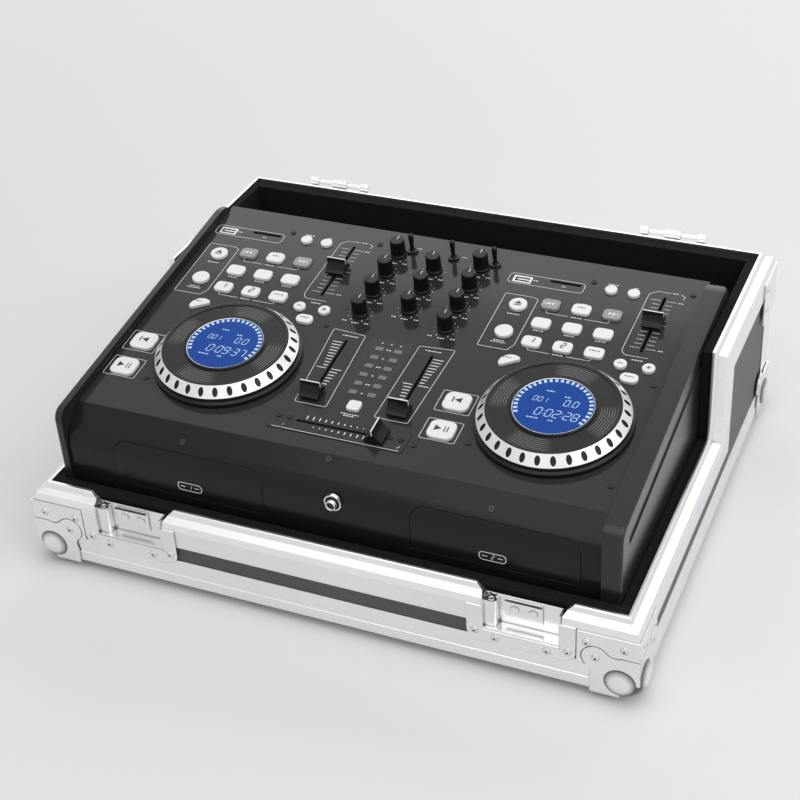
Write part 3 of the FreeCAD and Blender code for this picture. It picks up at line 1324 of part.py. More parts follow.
def make_trays():
    for side, x in TRAY_X.items():
        door = fascia_solid(x - DOOR_W, x + DOOR_W).common(door_prism(side, 0))
        y0 = DOOR_BACK
        tray = slab(x, y0 + TRAY_L / 2, TRAY_W, TRAY_L, TRAY_Z, TRAY_Z + TRAY_T)
        top = TRAY_Z + TRAY_T
        wells = [rod(DISC_WELL_R, x, DISC_Y, top - DISC_WELL_D, top + GAP),
                 rod(HUB_WELL_R, x, DISC_Y, top - DISC_WELL_D - HUB_WELL_D, top + GAP),
                 rod(SPINDLE_SLOT_R, x, DISC_Y, TRAY_Z - GAP, top + GAP),
                 slab(x, DISC_Y + TRAY_L / 2, 2 * SPINDLE_SLOT_R, TRAY_L, TRAY_Z - GAP, top + GAP)]
        solids = door.Solids + cut(tray, wells).Solids
        add(side + "_disc_tray", solids)


def loader_frame(x, y0, y1):
    """Plate on four posts, with two rails that hold the tray's edges, and the spindle motor."""
    rail_x = TRAY_W / 2 + GAP
    top = TRAY_Z + TRAY_T + GAP + SHEET
    outer = x - rail_x - RAIL_W
    plate = box(outer, 2 * x - outer, y0, y1, LOADER_Z, LOADER_TOP)
    rail = box(outer, x - rail_x, y0, y1, LOADER_Z, top)
    heights = (TRAY_Z - GAP - SHEET, top - SHEET)
    lips = [box(x - rail_x, x - rail_x + RAIL_LIP, y0, y1, z, z + SHEET) for z in heights]
    left = fused([rail] + lips)
    right = left.mirror(V(x, 0, 0), V(1, 0, 0))
    posts = [rod(POST_R, x + sx * (rail_x - POST_R), y, CONSOLE_Z + SHEET, LOADER_Z)
             for sx in (-1, 1) for y in (y0 + 2 * POST_R, y1 - 2 * POST_R)]
    motor_top = LOADER_TOP + MOTOR_H
    motor = rod(MOTOR_R, x, DISC_Y, LOADER_TOP, motor_top)
    frame = fused([plate, left, right, motor] + posts)
    return frame.cut(rod(SPINDLE_R + RUN_CLEAR, x, DISC_Y, LOADER_Z, motor_top + GAP))


def pickup(x, y1):
    """Laser pickup on its two guide rods."""
    near = DISC_Y + MOTOR_R + POST_R
    far = y1 - 2 * POST_R
    middle = (near + far) / 2
    axis_z = LOADER_TOP + POST_R
    end_top = axis_z + SPINDLE_R + SHEET
    rods = []
    for s in (-1, 1):
        guide = rod_y(SPINDLE_R, x + s * SLED[0] / 2, axis_z, near, far)
        ends = [slab(x + s * SLED[0] / 2, y, POST_R, POST_R, LOADER_TOP, end_top) for y in (near, far)]
        rods.append(fused([guide] + ends))
    low = LOADER_TOP + SHEET / 2
    sled = slab(x, middle, SLED[0] + 2 * POST_R, SLED[1], low, low + SLED[2])
    sled = fused([sled, rod(LENS_R, x, middle, low + SLED[2], low + SLED[2] + SHEET)])
    holes = [rod_y(SPINDLE_R + RUN_CLEAR, x + s * SLED[0] / 2, axis_z, near, far) for s in (-1, 1)]
    return rods + [cut(sled, holes)]


def loader(x):
    y0 = DOOR_BACK + 2 * FASCIA_T
    y1 = y0 + LOADER_L
    return [loader_frame(x, y0, y1)] + pickup(x, y1)


def make_loaders():
    solids = []
    for side, x in TRAY_X.items():
        solids += loader(x)
        table_top = TRAY_Z - TURNTABLE_DROP
        table = rod(TURNTABLE_R, x, DISC_Y, table_top - TURNTABLE_T, table_top)
        shaft = rod(SPINDLE_R, x, DISC_Y, LOADER_TOP, table_top)
        add(side + "_spindle", [fused([table, shaft])])
    add("disc_loaders", solids)


def power_supply():
    """Power board on four stands, with its transformer and two capacitors."""
    x = PSU_X
    y = REAR_Y - PSU_FROM_REAR
    floor = CONSOLE_Z + SHEET
    low = floor + POST_R
    top = low + BOARD_T
    board = slab(x, y, PSU[0], PSU[1], low, top)
    stands = [rod(POST_R / 2, x + sx * (PSU[0] / 2 - POST_R), y + sy * (PSU[1] / 2 - POST_R), floor, low)
              for sx in (-1, 1) for sy in (-1, 1)]
    core = slab(x - PSU[0] / 4, y, PSU[0] / 3, PSU[1] * 2 / 3, top, floor + PSU[2])
    tank_top = floor + PSU[2] - POST_R
    tanks = [rod(2 * POST_R, x + PSU[0] / 4, y + s * PSU[1] / 4, top, tank_top) for s in (-1, 1)]
    return [board, core] + tanks + stands


def make_rear_connectors():
    solids = []
    for i in range(RCA_COUNT):
        barrel = fused([rod_y(RCA_R, rca_x(i), RCA_Z, REAR_Y, REAR_Y + RCA_LEN),
                        rod_y(RCA_HOLE_R, rca_x(i), RCA_Z, REAR_Y - RCA_LEN, REAR_Y)])
        solids.append(barrel.cut(rod_y(RCA_PIN_HOLE, rca_x(i), RCA_Z, REAR_Y + SHEET, REAR_Y + 2 * RCA_LEN)))
    back = REAR_Y - INLET_DEPTH
    inlet = wall_block(INLET_X, INLET, back, REAR_Y + SHEET)
    inside = (INLET[0] - 2 * SHEET, INLET[1] - 2 * SHEET)
    mouth = wall_block(INLET_X, inside, back + SHEET, REAR_Y + 2 * SHEET)
    pins = []
    for s in (-1, 0, 1):
        x = INLET_X + s * PIN_PITCH
        pins.append(box(x - PIN_T / 2, x + PIN_T / 2, back, REAR_Y - PIN_T, INLET_Z - PIN_T, INLET_Z + PIN_T))
    solids.append(fused([inlet.cut(mouth)] + pins))
    solids.append(wall_block(SWITCH_AT, SWITCH_SIZE, REAR_Y - RCA_LEN, REAR_Y + SHEET))
    add("rear_connectors", solids)


def make_headphone_jack():
    x = TRAY_MID
    front = FASCIA_Y - JACK_NUT_T
    inner = FASCIA_Y + FASCIA_R / 2
    rear = inner + JACK_LEN
    half = JACK_BODY / 2
    nut = rod_y(JACK_NUT_R, x, JACK_Z, front, FASCIA_Y)
    bush = rod_y(JACK_BUSH_R, x, JACK_Z, front, inner)
    body = box(x - half, x + half, inner, rear, JACK_Z - half, JACK_Z + half)
    bore = rod_y(JACK_BORE, x, JACK_Z, front - GAP, rear - SHEET)
    add("headphone_jack", [fused([nut, bush, body]).cut(bore)])


# ---- the whole object ----
MAKERS = (
    make_rims, make_edges, make_panels, make_foam, make_feet, make_corners, make_rivets, make_latches,
    make_lid_hinges, make_fascia, make_cheeks, make_chassis, make_screws, make_keys, make_jogs,
    make_faders, make_cross_plate, make_knobs, make_toggles, make_meter, make_ports, make_deck,
    make_boards, make_trays, make_loaders, make_rear_connectors, make_headphone_jack)


def build():
    for make in MAKERS:
        make()


def export():
    os.makedirs("parts", exist_ok=True)
    for name, solids in NODES.items():
        shape = solids[0] if len(solids) == 1 else Part.makeCompound(solids)
        shape.exportStep("parts/%s.step" % name)


build()
export()
print(len(NODES), "nodes,", sum(len(s) for s in NODES.values()), "solids")
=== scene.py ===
import json
import math

import bmesh
import bpy
from mathutils import Matrix, Vector


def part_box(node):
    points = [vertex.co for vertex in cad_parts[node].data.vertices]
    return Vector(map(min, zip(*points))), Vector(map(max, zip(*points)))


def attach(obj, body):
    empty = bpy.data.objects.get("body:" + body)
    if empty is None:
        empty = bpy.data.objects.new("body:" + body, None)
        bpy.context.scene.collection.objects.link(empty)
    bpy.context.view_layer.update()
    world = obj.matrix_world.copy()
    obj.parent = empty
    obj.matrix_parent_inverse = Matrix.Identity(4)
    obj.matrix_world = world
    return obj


# Twin disc player with a two-channel mixer, in the open lower tray of its flight case. The CAD
# nodes keep their shapes and get their finishes here; the printed marks, display contents, white
# lines on knobs and faders and small fittings are added. Drawings on the deck are in millimetres:
# u to the right, v along the slope towards the rear, w away from the deck.

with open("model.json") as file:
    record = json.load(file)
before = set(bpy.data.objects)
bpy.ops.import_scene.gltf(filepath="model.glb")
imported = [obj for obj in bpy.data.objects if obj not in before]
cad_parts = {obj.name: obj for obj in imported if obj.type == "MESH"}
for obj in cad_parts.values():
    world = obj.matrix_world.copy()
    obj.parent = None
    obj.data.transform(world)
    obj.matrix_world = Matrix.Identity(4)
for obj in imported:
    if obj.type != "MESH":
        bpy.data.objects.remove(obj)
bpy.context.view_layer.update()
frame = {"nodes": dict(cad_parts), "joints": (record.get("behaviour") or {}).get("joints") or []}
NODES = frame["nodes"]
JOINTS = {joint["name"]: joint for joint in frame["joints"]}
SIDES = ("left", "right")
MM = 0.001

# ---- sizes read from the frame ----
JOG = {side: JOINTS[side + "_jog_wheel_turn"] for side in SIDES}
JOG_U = {side: JOG[side]["pos_m"][0] / MM for side in SIDES}
DECK_TILT = math.atan2(-JOG["left"]["axis"][1], JOG["left"]["axis"][2])
DECK_ORIGIN = Vector((0, JOG["left"]["pos_m"][1], JOG["left"]["pos_m"][2]))
DECK = Matrix.Translation(DECK_ORIGIN) @ Matrix.Rotation(DECK_TILT, 4, "X")
HALF_W, HALF_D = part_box("edge_profiles")[1].xy

# ---- deck layout, in millimetres from the middle of a wheel or of the deck ----
INK_LIFT = 0.06
KEY_W, KEY_D, KEY_TOP = 16.5, 13.0, 2.6
KEY_COLS = (-49.0, -21.6, 5.8)
LOOP_ROW, EFFECT_ROW, SEARCH_ROW = 87.0, 112.2, 138.4
CUE_AT, PLAY_AT, EJECT_AT = (-82.2, -0.7), (-82.2, -35.2), (-76.4, 131.5)
MINUS_AT, PLUS_AT, OVAL_AT, MOON_AT = (30.4, 79.4), (54.2, 79.9), (42.3, 64.2), (-60.2, 60.7)
PITCH_SLOT_AT = (42.0, 136.9)
USB_AT = (-84.9, 167.6)
RING_OUT, RING_IN = (62.0, 8.5), (54.5, 16.7)   # radius and height of the ring's slope
SLOPE_SKIN, SLOPE_EDGE = 0.12, 0.05             # how far its silver reaches into it and past its edges
GLASS_R, GLASS_W = 33.2, 16.8                   # radius and height of a display's window
KNOB_U, KNOB_V, KNOB_COUNT = (-52.0, -12.0, 28.0), (85.2, 101.0, 85.2), (4, 3, 4)
KNOB_PITCH, KNOB_TOP = 29.2, 17.6
POINTER_DEPTH = 0.5
CHANNEL_U, CHANNEL_V = (-48.8, 29.9), 10.8
CROSS_AT = (-10.0, -56.0)
CAP_W, CAP_TOP = 17.5, 14.2
METER_U, METER_V, METER_DX, METER_PITCH, METER_ROWS = -8.7, 17.5, 8.5, 11.35, 6
RELAY_AT = (-8.4, -27.9)
BOARD_W = -9.9              # top of the circuit boards, under the deck
REAR_SOCKETS, REAR_SOCKET_R, REAR_SOCKET_PITCH = 8, 4.2, 18.0
BALL_R, BALL_SKIN = 20.0, 0.15
BALL_REFLECTION_SPAN = (15.8, 18.6)    # the painted dark reflection ring's dark and clear sides, out from the ball's centre
FLANGE_W, POST_FROM_EDGE, POST_FROM_FACE, POST_DROP = 88.0, 18.5, 5.3, 2.5     # of a latch dish
DOOR_BADGES = {"left": (-124.5, 92.2, "1"), "right": (139.8, 91.2, "2")}       # x, z and number


# ---- meshes ----
def show(name, data):
    """New object of the scene."""
    obj = bpy.data.objects.new(name, data)
    bpy.context.scene.collection.objects.link(obj)
    return obj


def show_mesh(name, mesh, material):
    data = bpy.data.meshes.new(name)
    mesh.to_mesh(data)
    mesh.free()
    data.materials.append(material)
    return show(name, data)


def piece(name, mesh, material, body="console"):
    """Turns a bmesh into an object that rides on a body."""
    obj = show_mesh(name, mesh, material)
    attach(obj, body)


def deck_point(u, v, w):
    return DECK @ (Vector((u, v, w)) * MM)


def face(mesh, points):
    mesh.faces.new([mesh.verts.new(point) for point in points])


def patch(mesh, outline, w):
    """Flat printed patch on the deck or on a key; outline is a list of (u, v)."""
    face(mesh, [deck_point(u, v, w) for u, v in outline])


def bar(mesh, u, v, wide, deep, w=INK_LIFT, turn=0.0):
    """Printed rectangle, turned about its middle."""
    cos, sin = math.cos(turn), math.sin(turn)
    corners = [(-wide / 2, -deep / 2), (wide / 2, -deep / 2), (wide / 2, deep / 2), (-wide / 2, deep / 2)]
    patch(mesh, [(u + a * cos - b * sin, v + a * sin + b * cos) for a, b in corners], w)


def disc(mesh, u, v, radius, w, steps):
    angles = [2 * math.pi * i / steps for i in range(steps)]
    patch(mesh, [(u + radius * math.cos(a), v + radius * math.sin(a)) for a in angles], w)


def turned(mesh, place, profile, steps):
    """Surface of revolution about the local Z, from a profile of (radius, height) in millimetres."""
    rings = []
    for i in range(steps):
        turn = Matrix.Rotation(2 * math.pi * i / steps, 3, "Z")
        rings.append([mesh.verts.new(place @ (turn @ Vector((r * MM, 0, h * MM)))) for r, h in profile])
    for near, far in zip(rings, rings[1:] + rings[:1]):
        for a, b, c, d in zip(near, far, far[1:], near[1:]):
            mesh.faces.new((a, b, c, d)).smooth = True


def rounded_path(corners, radius, closed=True, steps=5):
    """Path through the corners, with each one cut by an arc of about this radius."""
    count = len(corners)
    path = []
    for i, corner in enumerate(corners):
        here = Vector(corner)
        if not closed and i in (0, count - 1):
            path.append(here)
            continue
        before = (Vector(corners[i - 1]) - here).normalized()
        after = (Vector(corners[(i + 1) % count]) - here).normalized()
        for k in range(steps + 1):
            t = k / steps
            path.append(here + before * radius * (1 - t) ** 2 + after * radius * t ** 2)
    return path


def line(mesh, path, width, closed=False, w=INK_LIFT):
    """Printed line of constant width along a path of (u, v), with mitred bends."""
    points = [Vector(p) for p in path]
    count = len(points)
    rails = []
    for i, here in enumerate(points):
        before = points[i - 1] if closed or i else None
        after = points[(i + 1) % count] if closed or i < count - 1 else None
        ways = []
        if before is not None:
            ways.append((here - before).normalized())
        if after is not None:
            ways.append((after - here).normalized())
        along = sum(ways, Vector((0, 0))).normalized()
        across = Vector((-along.y, along.x))
        reach = width / 2 / max(0.5, abs(along.dot(ways[0])))
        rails.append((mesh.verts.new(deck_point(*(here + across * reach), w)),
                      mesh.verts.new(deck_point(*(here - across * reach), w))))
    pairs = list(zip(rails, rails[1:])) + ([(rails[-1], rails[0])] if closed else [])
    for (a, b), (c, d) in pairs:
        mesh.faces.new((a, b, d, c))


def box_path(u0, u1, v0, v1):
    return [(u0, v0), (u1, v0), (u1, v1), (u0, v1)]


DASHES, DASH_GAP, DASH_HIGH = (1.6, 2.3, 1.2, 1.9), 0.7, 1.1


def caption(mesh, u, v, length, w=INK_LIFT):
    """Row of short dashes where a control has its caption."""
    at = -length / 2
    i = 0
    while at < length / 2 - DASH_GAP:
        dash = min(DASHES[i % len(DASHES)], length / 2 - at)
        bar(mesh, u + at + dash / 2, v, dash, DASH_HIGH, w)
        at += dash + DASH_GAP
        i += 1


SEGMENTS = {
    "0": "abcdef", "1": "bc", "2": "abged", "3": "abgcd", "4": "fgbc", "5": "afgcd",
    "6": "afgedc", "7": "abc", "8": "abcdefg", "9": "gfabcd"}
SLANT = 0.18
DIGIT_WIDE, DIGIT_STEP, DOT_STEP, COLON_AT = 0.52, 0.78, 0.24, (0.28, 0.68)     # shares of the height


def digit(mesh, character, u, v, high, width, w, gap=0.65):
    """Slanted figure of seven segments, from its lower left corner; the gap is a share of the stroke."""
    wide = high * DIGIT_WIDE
    half = high / 2
    ends = {
        "a": ((0, high), (wide, high)), "b": ((wide, half), (wide, high)), "c": ((wide, 0), (wide, half)),
        "d": ((0, 0), (wide, 0)), "e": ((0, 0), (0, half)), "f": ((0, half), (0, high)),
        "g": ((0, half), (wide, half))}
    for name in SEGMENTS[character]:
        (a, b), (c, d) = ends[name]
        start = Vector((u + a + b * SLANT, v + b))
        stop = Vector((u + c + d * SLANT, v + d))
        inset = (stop - start).normalized() * width * gap
        line(mesh, [start + inset, stop - inset], width, w=w)


def figures(mesh, text, u, v, high, width, w):
    """Row of figures, with dots and colons."""
    for character in text:
        if character in ".:":
            for share in (0.0,) if character == "." else COLON_AT:
                bar(mesh, u + share * high * SLANT, v + share * high, width, width, w)
            u += high * DOT_STEP
        else:
            digit(mesh, character, u, v, high, width, w)
            u += high * DIGIT_STEP


# ---- nodes of a material ----
NOISE_SPAN = (0.3, 0.7)     # the part of its range that a noise mostly fills


def grey(tone):
    return (tone, tone, tone)


def shade(colour, times):
    """The colour, darker or lighter by a factor."""
    return tuple(min(1.0, part * times) for part in colour)


def base(name, colour, roughness, metallic=0.0, gloss=0.5):
    """New material with its shader; gloss is the shader's specular level."""
    material = bpy.data.materials.new(name)
    material.use_nodes = True
    shader = material.node_tree.nodes["Principled BSDF"]
    shader.inputs["Base Color"].default_value = (*colour, 1)
    for socket, value in (("Roughness", roughness), ("Metallic", metallic), ("Specular IOR Level", gloss)):
        shader.inputs[socket].default_value = value
    return material, material.node_tree, shader


def add_node(tree, kind):
    return tree.nodes.new("ShaderNode" + kind)


def coordinates(tree, scale=(1, 1, 1), place=None):
    """The piece's own coordinates in metres, moved into another frame if one is given."""
    source = add_node(tree, "TexCoord").outputs["Object"]
    if place is not None:
        away = place.inverted()
        move = add_node(tree, "Mapping")
        move.inputs["Location"].default_value = away.translation
        move.inputs["Rotation"].default_value = away.to_euler()
        tree.links.new(source, move.inputs["Vector"])
        source = move.outputs["Vector"]
    stretch = add_node(tree, "Mapping")
    stretch.inputs["Scale"].default_value = scale
    tree.links.new(source, stretch.inputs["Vector"])
    return stretch.outputs["Vector"]


def noise(tree, scale, detail=3.0, stretch=(1, 1, 1)):
    """Noise with about this many bumps to the metre."""
    texture = add_node(tree, "TexNoise")
    texture.inputs["Scale"].default_value = scale
    texture.inputs["Detail"].default_value = detail
    tree.links.new(coordinates(tree, stretch), texture.inputs["Vector"])
    return texture.outputs["Fac"]


def cells(tree, scale, kind="F1"):
    texture = add_node(tree, "TexVoronoi")
    texture.feature = kind
    texture.inputs["Scale"].default_value = scale
    tree.links.new(coordinates(tree), texture.inputs["Vector"])
    return texture.outputs["Distance"]


def math_node(tree, operation, first, second=None, third=None):
    node = add_node(tree, "Math")
    node.operation = operation
    for socket, value in zip(node.inputs, (first, second, third)):
        if value is None:
            continue
        if isinstance(value, (int, float)):
            socket.default_value = value
        else:
            tree.links.new(value, socket)
    return node.outputs["Value"]


def spread(tree, factor, low, high, start=0.0, end=1.0):
    """Number between low and high as the factor goes from start to end."""
    node = add_node(tree, "MapRange")
    for name, value in (("From Min", start), ("From Max", end), ("To Min", low), ("To Max", high)):
        node.inputs[name].default_value = value
    tree.links.new(factor, node.inputs["Value"])
    return node.outputs["Result"]


def blend(tree, factor, first, second):
    """Mix of two colours, each a tuple or a socket."""
    node = add_node(tree, "Mix")
    node.data_type = "RGBA"
    tree.links.new(factor, node.inputs["Factor"])
    for socket, value in ((node.inputs["A"], first), (node.inputs["B"], second)):
        if isinstance(value, tuple):
            socket.default_value = (*value, 1)
        else:
            tree.links.new(value, socket)
    return node.outputs["Result"]


def product(tree, first, *others):
    for other in others:
        first = math_node(tree, "MULTIPLY", first, other)
    return first


def distance(tree, *sides):
    """Length of the line whose sides along the axes are given."""
    square = math_node(tree, "MULTIPLY", sides[0], sides[0])
    for side in sides[1:]:
        square = math_node(tree, "MULTIPLY_ADD", side, side, square)
    return math_node(tree, "SQRT", square)


def wire(tree, shader, name, source):
    tree.links.new(source, shader.inputs[name])


def tint(tree, shader, factor, first, second):
    """Base colour that goes from the first to the second with the factor."""
    wire(tree, shader, "Base Color", blend(tree, factor, first, second))


def roughen(tree, shader, texture, low, high):
    """Roughness that follows a noise."""
    wire(tree, shader, "Roughness", spread(tree, texture, low, high, *NOISE_SPAN))


def softened(tree, radius):
    """Normal of the piece as if its edges had this radius, in millimetres."""
    bevel = add_node(tree, "Bevel")
    bevel.samples = 4
    bevel.inputs["Radius"].default_value = radius * MM
    return bevel.outputs["Normal"]


def relief(tree, shader, height, depth, strength, edge=0.0):
    """Bumps of this depth over edges softened to a small radius, both in millimetres."""
    bump = add_node(tree, "Bump")
    bump.inputs["Strength"].default_value = strength
    bump.inputs["Distance"].default_value = depth * MM
    tree.links.new(height, bump.inputs["Height"])
    if edge:
        tree.links.new(softened(tree, edge), bump.inputs["Normal"])
    tree.links.new(bump.outputs["Normal"], shader.inputs["Normal"])


def edge_wear(tree, radius, low=0.02, high=0.25):
    """1 along a piece's edges and 0 on its faces."""
    dot = add_node(tree, "VectorMath")
    dot.operation = "DOT_PRODUCT"
    tree.links.new(softened(tree, radius), dot.inputs[0])
    tree.links.new(add_node(tree, "NewGeometry").outputs["Normal"], dot.inputs[1])
    away = math_node(tree, "SUBTRACT", 1.0, dot.outputs["Value"])
    return spread(tree, away, 0.0, 1.0, low, high)


def hollow_shade(tree, reach, low=0.25, high=0.75):
    """Mask of painted shade: 0 in the hollows and corners of a piece and 1 on its open faces."""
    node = add_node(tree, "AmbientOcclusion")
    node.samples = 6
    node.inputs["Distance"].default_value = reach * MM
    return spread(tree, node.outputs["AO"], 0.0, 1.0, low, high)


def split(tree, vector):
    node = add_node(tree, "SeparateXYZ")
    tree.links.new(vector, node.inputs["Vector"])
    return node.outputs


# ---- finishes of the case ----
STREAKS_ALONG, STREAKS_ACROSS = 12, 1500    # streaks to the metre


def streaks(tree):
    """Drawing streaks that run along each side of the case."""
    along_x = noise(tree, 1.0, 4.0, (STREAKS_ALONG, STREAKS_ACROSS, STREAKS_ACROSS))
    along_y = noise(tree, 1.0, 4.0, (STREAKS_ACROSS, STREAKS_ALONG, STREAKS_ACROSS))
    where = split(tree, coordinates(tree))
    off_x = math_node(tree, "SUBTRACT", math_node(tree, "ABSOLUTE", where["X"]), HALF_W)
    off_y = math_node(tree, "SUBTRACT", math_node(tree, "ABSOLUTE", where["Y"]), HALF_D)
    side = math_node(tree, "GREATER_THAN", off_x, off_y)
    node = add_node(tree, "Mix")
    tree.links.new(side, node.inputs["Factor"])
    tree.links.new(along_x, node.inputs["A"])
    tree.links.new(along_y, node.inputs["B"])
    return node.outputs["Result"]


def drawn_aluminium():
    material, tree, shader = base("drawn_aluminium", (0.86, 0.86, 0.87), 0.34, 1.0)
    streak = streaks(tree)
    smudge = noise(tree, 14, 3.0)
    tone = blend(tree, smudge, (0.83, 0.83, 0.84), grey(0.92))
    # painted shade: dark grey in the hollows and corners of the profiles
    tint(tree, shader, hollow_shade(tree, 4.0), grey(0.16), tone)
    roughen(tree, shader, streak, 0.25, 0.38)
    relief(tree, shader, streak, 0.03, 0.4, 0.6)
    return material


def painted_ball_reflection(tree):
    """1 in a ring on each ball corner, where the ball curves back to the plates: the mask of a painted dark
    reflection.
    """
    low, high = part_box("corner_hardware")
    where = split(tree, coordinates(tree))
    out_x = math_node(tree, "SUBTRACT", math_node(tree, "ABSOLUTE", where["X"]), high.x - BALL_R * MM)
    out_y = math_node(tree, "SUBTRACT", math_node(tree, "ABSOLUTE", where["Y"]), high.y - BALL_R * MM)
    out_z = math_node(tree, "SUBTRACT", low.z + BALL_R * MM, where["Z"])
    rise = math_node(tree, "MAXIMUM", out_x, math_node(tree, "MAXIMUM", out_y, out_z))
    on_ball = math_node(tree, "LESS_THAN", distance(tree, out_x, out_y, out_z), (BALL_R + BALL_SKIN) * MM)
    ring = spread(tree, rise, 1.0, 0.0, BALL_REFLECTION_SPAN[0] * MM, BALL_REFLECTION_SPAN[1] * MM)
    return product(tree, on_ball, ring)


def plated_steel(name="plated_steel", tone=0.86, paint_ball_reflections=False):
    """Bright nickel plate with faint clouds, painted shade in its hollows and a painted dark reflection
    round the ball corners.
    """
    material, tree, shader = base(name, grey(tone), 0.2, 1.0)
    cloud = noise(tree, 45, 4.0)
    fine = noise(tree, 600, 3.0)
    unshaded_tone = blend(tree, cloud, shade(grey(tone), 0.93), shade(grey(tone), 1.05))
    # painted shade: near black in the hollows and corners, such as the rivet holes
    colour = blend(tree, hollow_shade(tree, 3.0), grey(0.08), unshaded_tone)
    # painted reflection: a dark ring on each ball, standing for the dark surroundings a polished ball
    # mirrors
    if paint_ball_reflections:
        colour = blend(tree, painted_ball_reflection(tree), colour, grey(0.12))
    wire(tree, shader, "Base Color", colour)
    roughen(tree, shader, fine, 0.15, 0.27)
    relief(tree, shader, cloud, 0.12, 0.25, 0.7)
    return material


def case_laminate():
    """Charcoal laminate with a pebbled face."""
    material, tree, shader = base("case_laminate", (0.07, 0.07, 0.075), 0.5)
    pebble = cells(tree, 900, "SMOOTH_F1")
    patchy = noise(tree, 9, 4.0)
    tint(tree, shader, patchy, (0.055, 0.055, 0.058), (0.095, 0.095, 0.10))
    wire(tree, shader, "Roughness", spread(tree, pebble, 0.42, 0.62))
    relief(tree, shader, pebble, 0.25, 0.6)
    return material


def foam():
    material, tree, shader = base("lining_foam", (0.02, 0.02, 0.021), 0.95, gloss=0.15)
    pores = cells(tree, 750)
    lumps = noise(tree, 60, 3.0)
    tint(tree, shader, pores, grey(0.005), grey(0.016))
    height = math_node(tree, "ADD", pores, product(tree, lumps, 1.5))
    relief(tree, shader, height, 0.6, 0.7, 1.5)
    return material


def foot_rubber():
    material, tree, shader = base("foot_rubber", grey(0.022), 0.75)
    fine = noise(tree, 1200, 2.0)
    wire(tree, shader, "Roughness", spread(tree, fine, 0.65, 0.85))
    relief(tree, shader, fine, 0.1, 0.5, 0.8)
    return material


# ---- finishes of the console ----
KEY_WHITE = (0.86, 0.86, 0.85)
USB_HALF, USB_SHELL_D = (9.5, 6.0), 4.0     # half the socket's shell along u and v, and its depth
# sectors where the grooves show, with a painted pale highlight on them
GROOVE_PITCH, GROOVE_SECTORS, SECTOR_TURN = 2.1, 4.0, 0.5
GROOVE_MARGINS = (4.5, 3.5)                 # plain bands beside the window and the slope


def powder_coat(name, colour, roughness, lift, gloss):
    """Fine black coat on sheet metal, a little lighter where edges are worn."""
    material, tree, shader = base(name, colour, roughness, gloss=gloss)
    fine = noise(tree, 2600, 2.0)
    hazy = noise(tree, 11, 3.0)
    tone = blend(tree, hazy, colour, shade(colour, lift))
    tint(tree, shader, product(tree, edge_wear(tree, 0.6), 0.3), tone, grey(0.10))
    roughen(tree, shader, fine, roughness - 0.03, roughness + 0.05)
    relief(tree, shader, fine, 0.02, 0.15, 0.5)
    return material


def front_coat(name):
    """The same coat on the fascia and on the doors of its trays."""
    return powder_coat(name, grey(0.009), 0.2, 1.3, 0.22)


def moulded(name, colour, roughness, gloss=0.5):
    """Plain moulded plastic with a very fine skin."""
    material, tree, shader = base(name, colour, roughness, gloss=gloss)
    skin = noise(tree, 1800, 2.0)
    cloud = noise(tree, 70, 3.0)
    tint(tree, shader, cloud, colour, shade(colour, 1.25))
    roughen(tree, shader, skin, roughness - 0.06, roughness + 0.08)
    relief(tree, shader, skin, 0.03, 0.4, 0.5)
    return material


def key_skin(tree, shader):
    """Gloss and faint waves of a moulded key; gives the mottled white that goes with them."""
    cloud = noise(tree, 160, 3.0)
    roughen(tree, shader, noise(tree, 1500, 2.0), 0.17, 0.30)
    relief(tree, shader, cloud, 0.08, 0.3, 0.4)
    return blend(tree, cloud, shade(KEY_WHITE, 0.93), KEY_WHITE)


def key_plastic():
    """Glossy white key plastic that lets a little light in."""
    material, tree, shader = base("key_white", KEY_WHITE, 0.22)
    shader.inputs["Subsurface Weight"].default_value = 0.1
    shader.inputs["Subsurface Radius"].default_value = grey(2 * MM)
    shader.inputs["Subsurface Scale"].default_value = 1.0
    wire(tree, shader, "Base Color", key_skin(tree, shader))
    return material


def in_boxes(tree, where, columns, v, half_u, half_v):
    """1 inside either of two equal rectangles in one row of the deck, in millimetres."""
    near_u = [math_node(tree, "COMPARE", where["X"], u * MM, half_u * MM) for u in columns]
    near_v = math_node(tree, "COMPARE", where["Y"], v * MM, half_v * MM)
    return product(tree, math_node(tree, "ADD", *near_u), near_v)


def keypad_plastic(side):
    """White keys, with the two track keys smoky and clear."""
    smoke = (0.30, 0.30, 0.31)
    material, tree, shader = base(side + "_keypad_plastic", KEY_WHITE, 0.22)
    where = split(tree, coordinates(tree, place=DECK))
    columns = [JOG_U[side] + u for u in (KEY_COLS[0], KEY_COLS[2])]
    clear = in_boxes(tree, where, columns, SEARCH_ROW, KEY_W / 2 + 1, KEY_D / 2 + 1)
    dark = blend(tree, noise(tree, 420, 2.0), shade(smoke, 0.55), shade(smoke, 1.5))
    tint(tree, shader, clear, key_skin(tree, shader), dark)
    return material


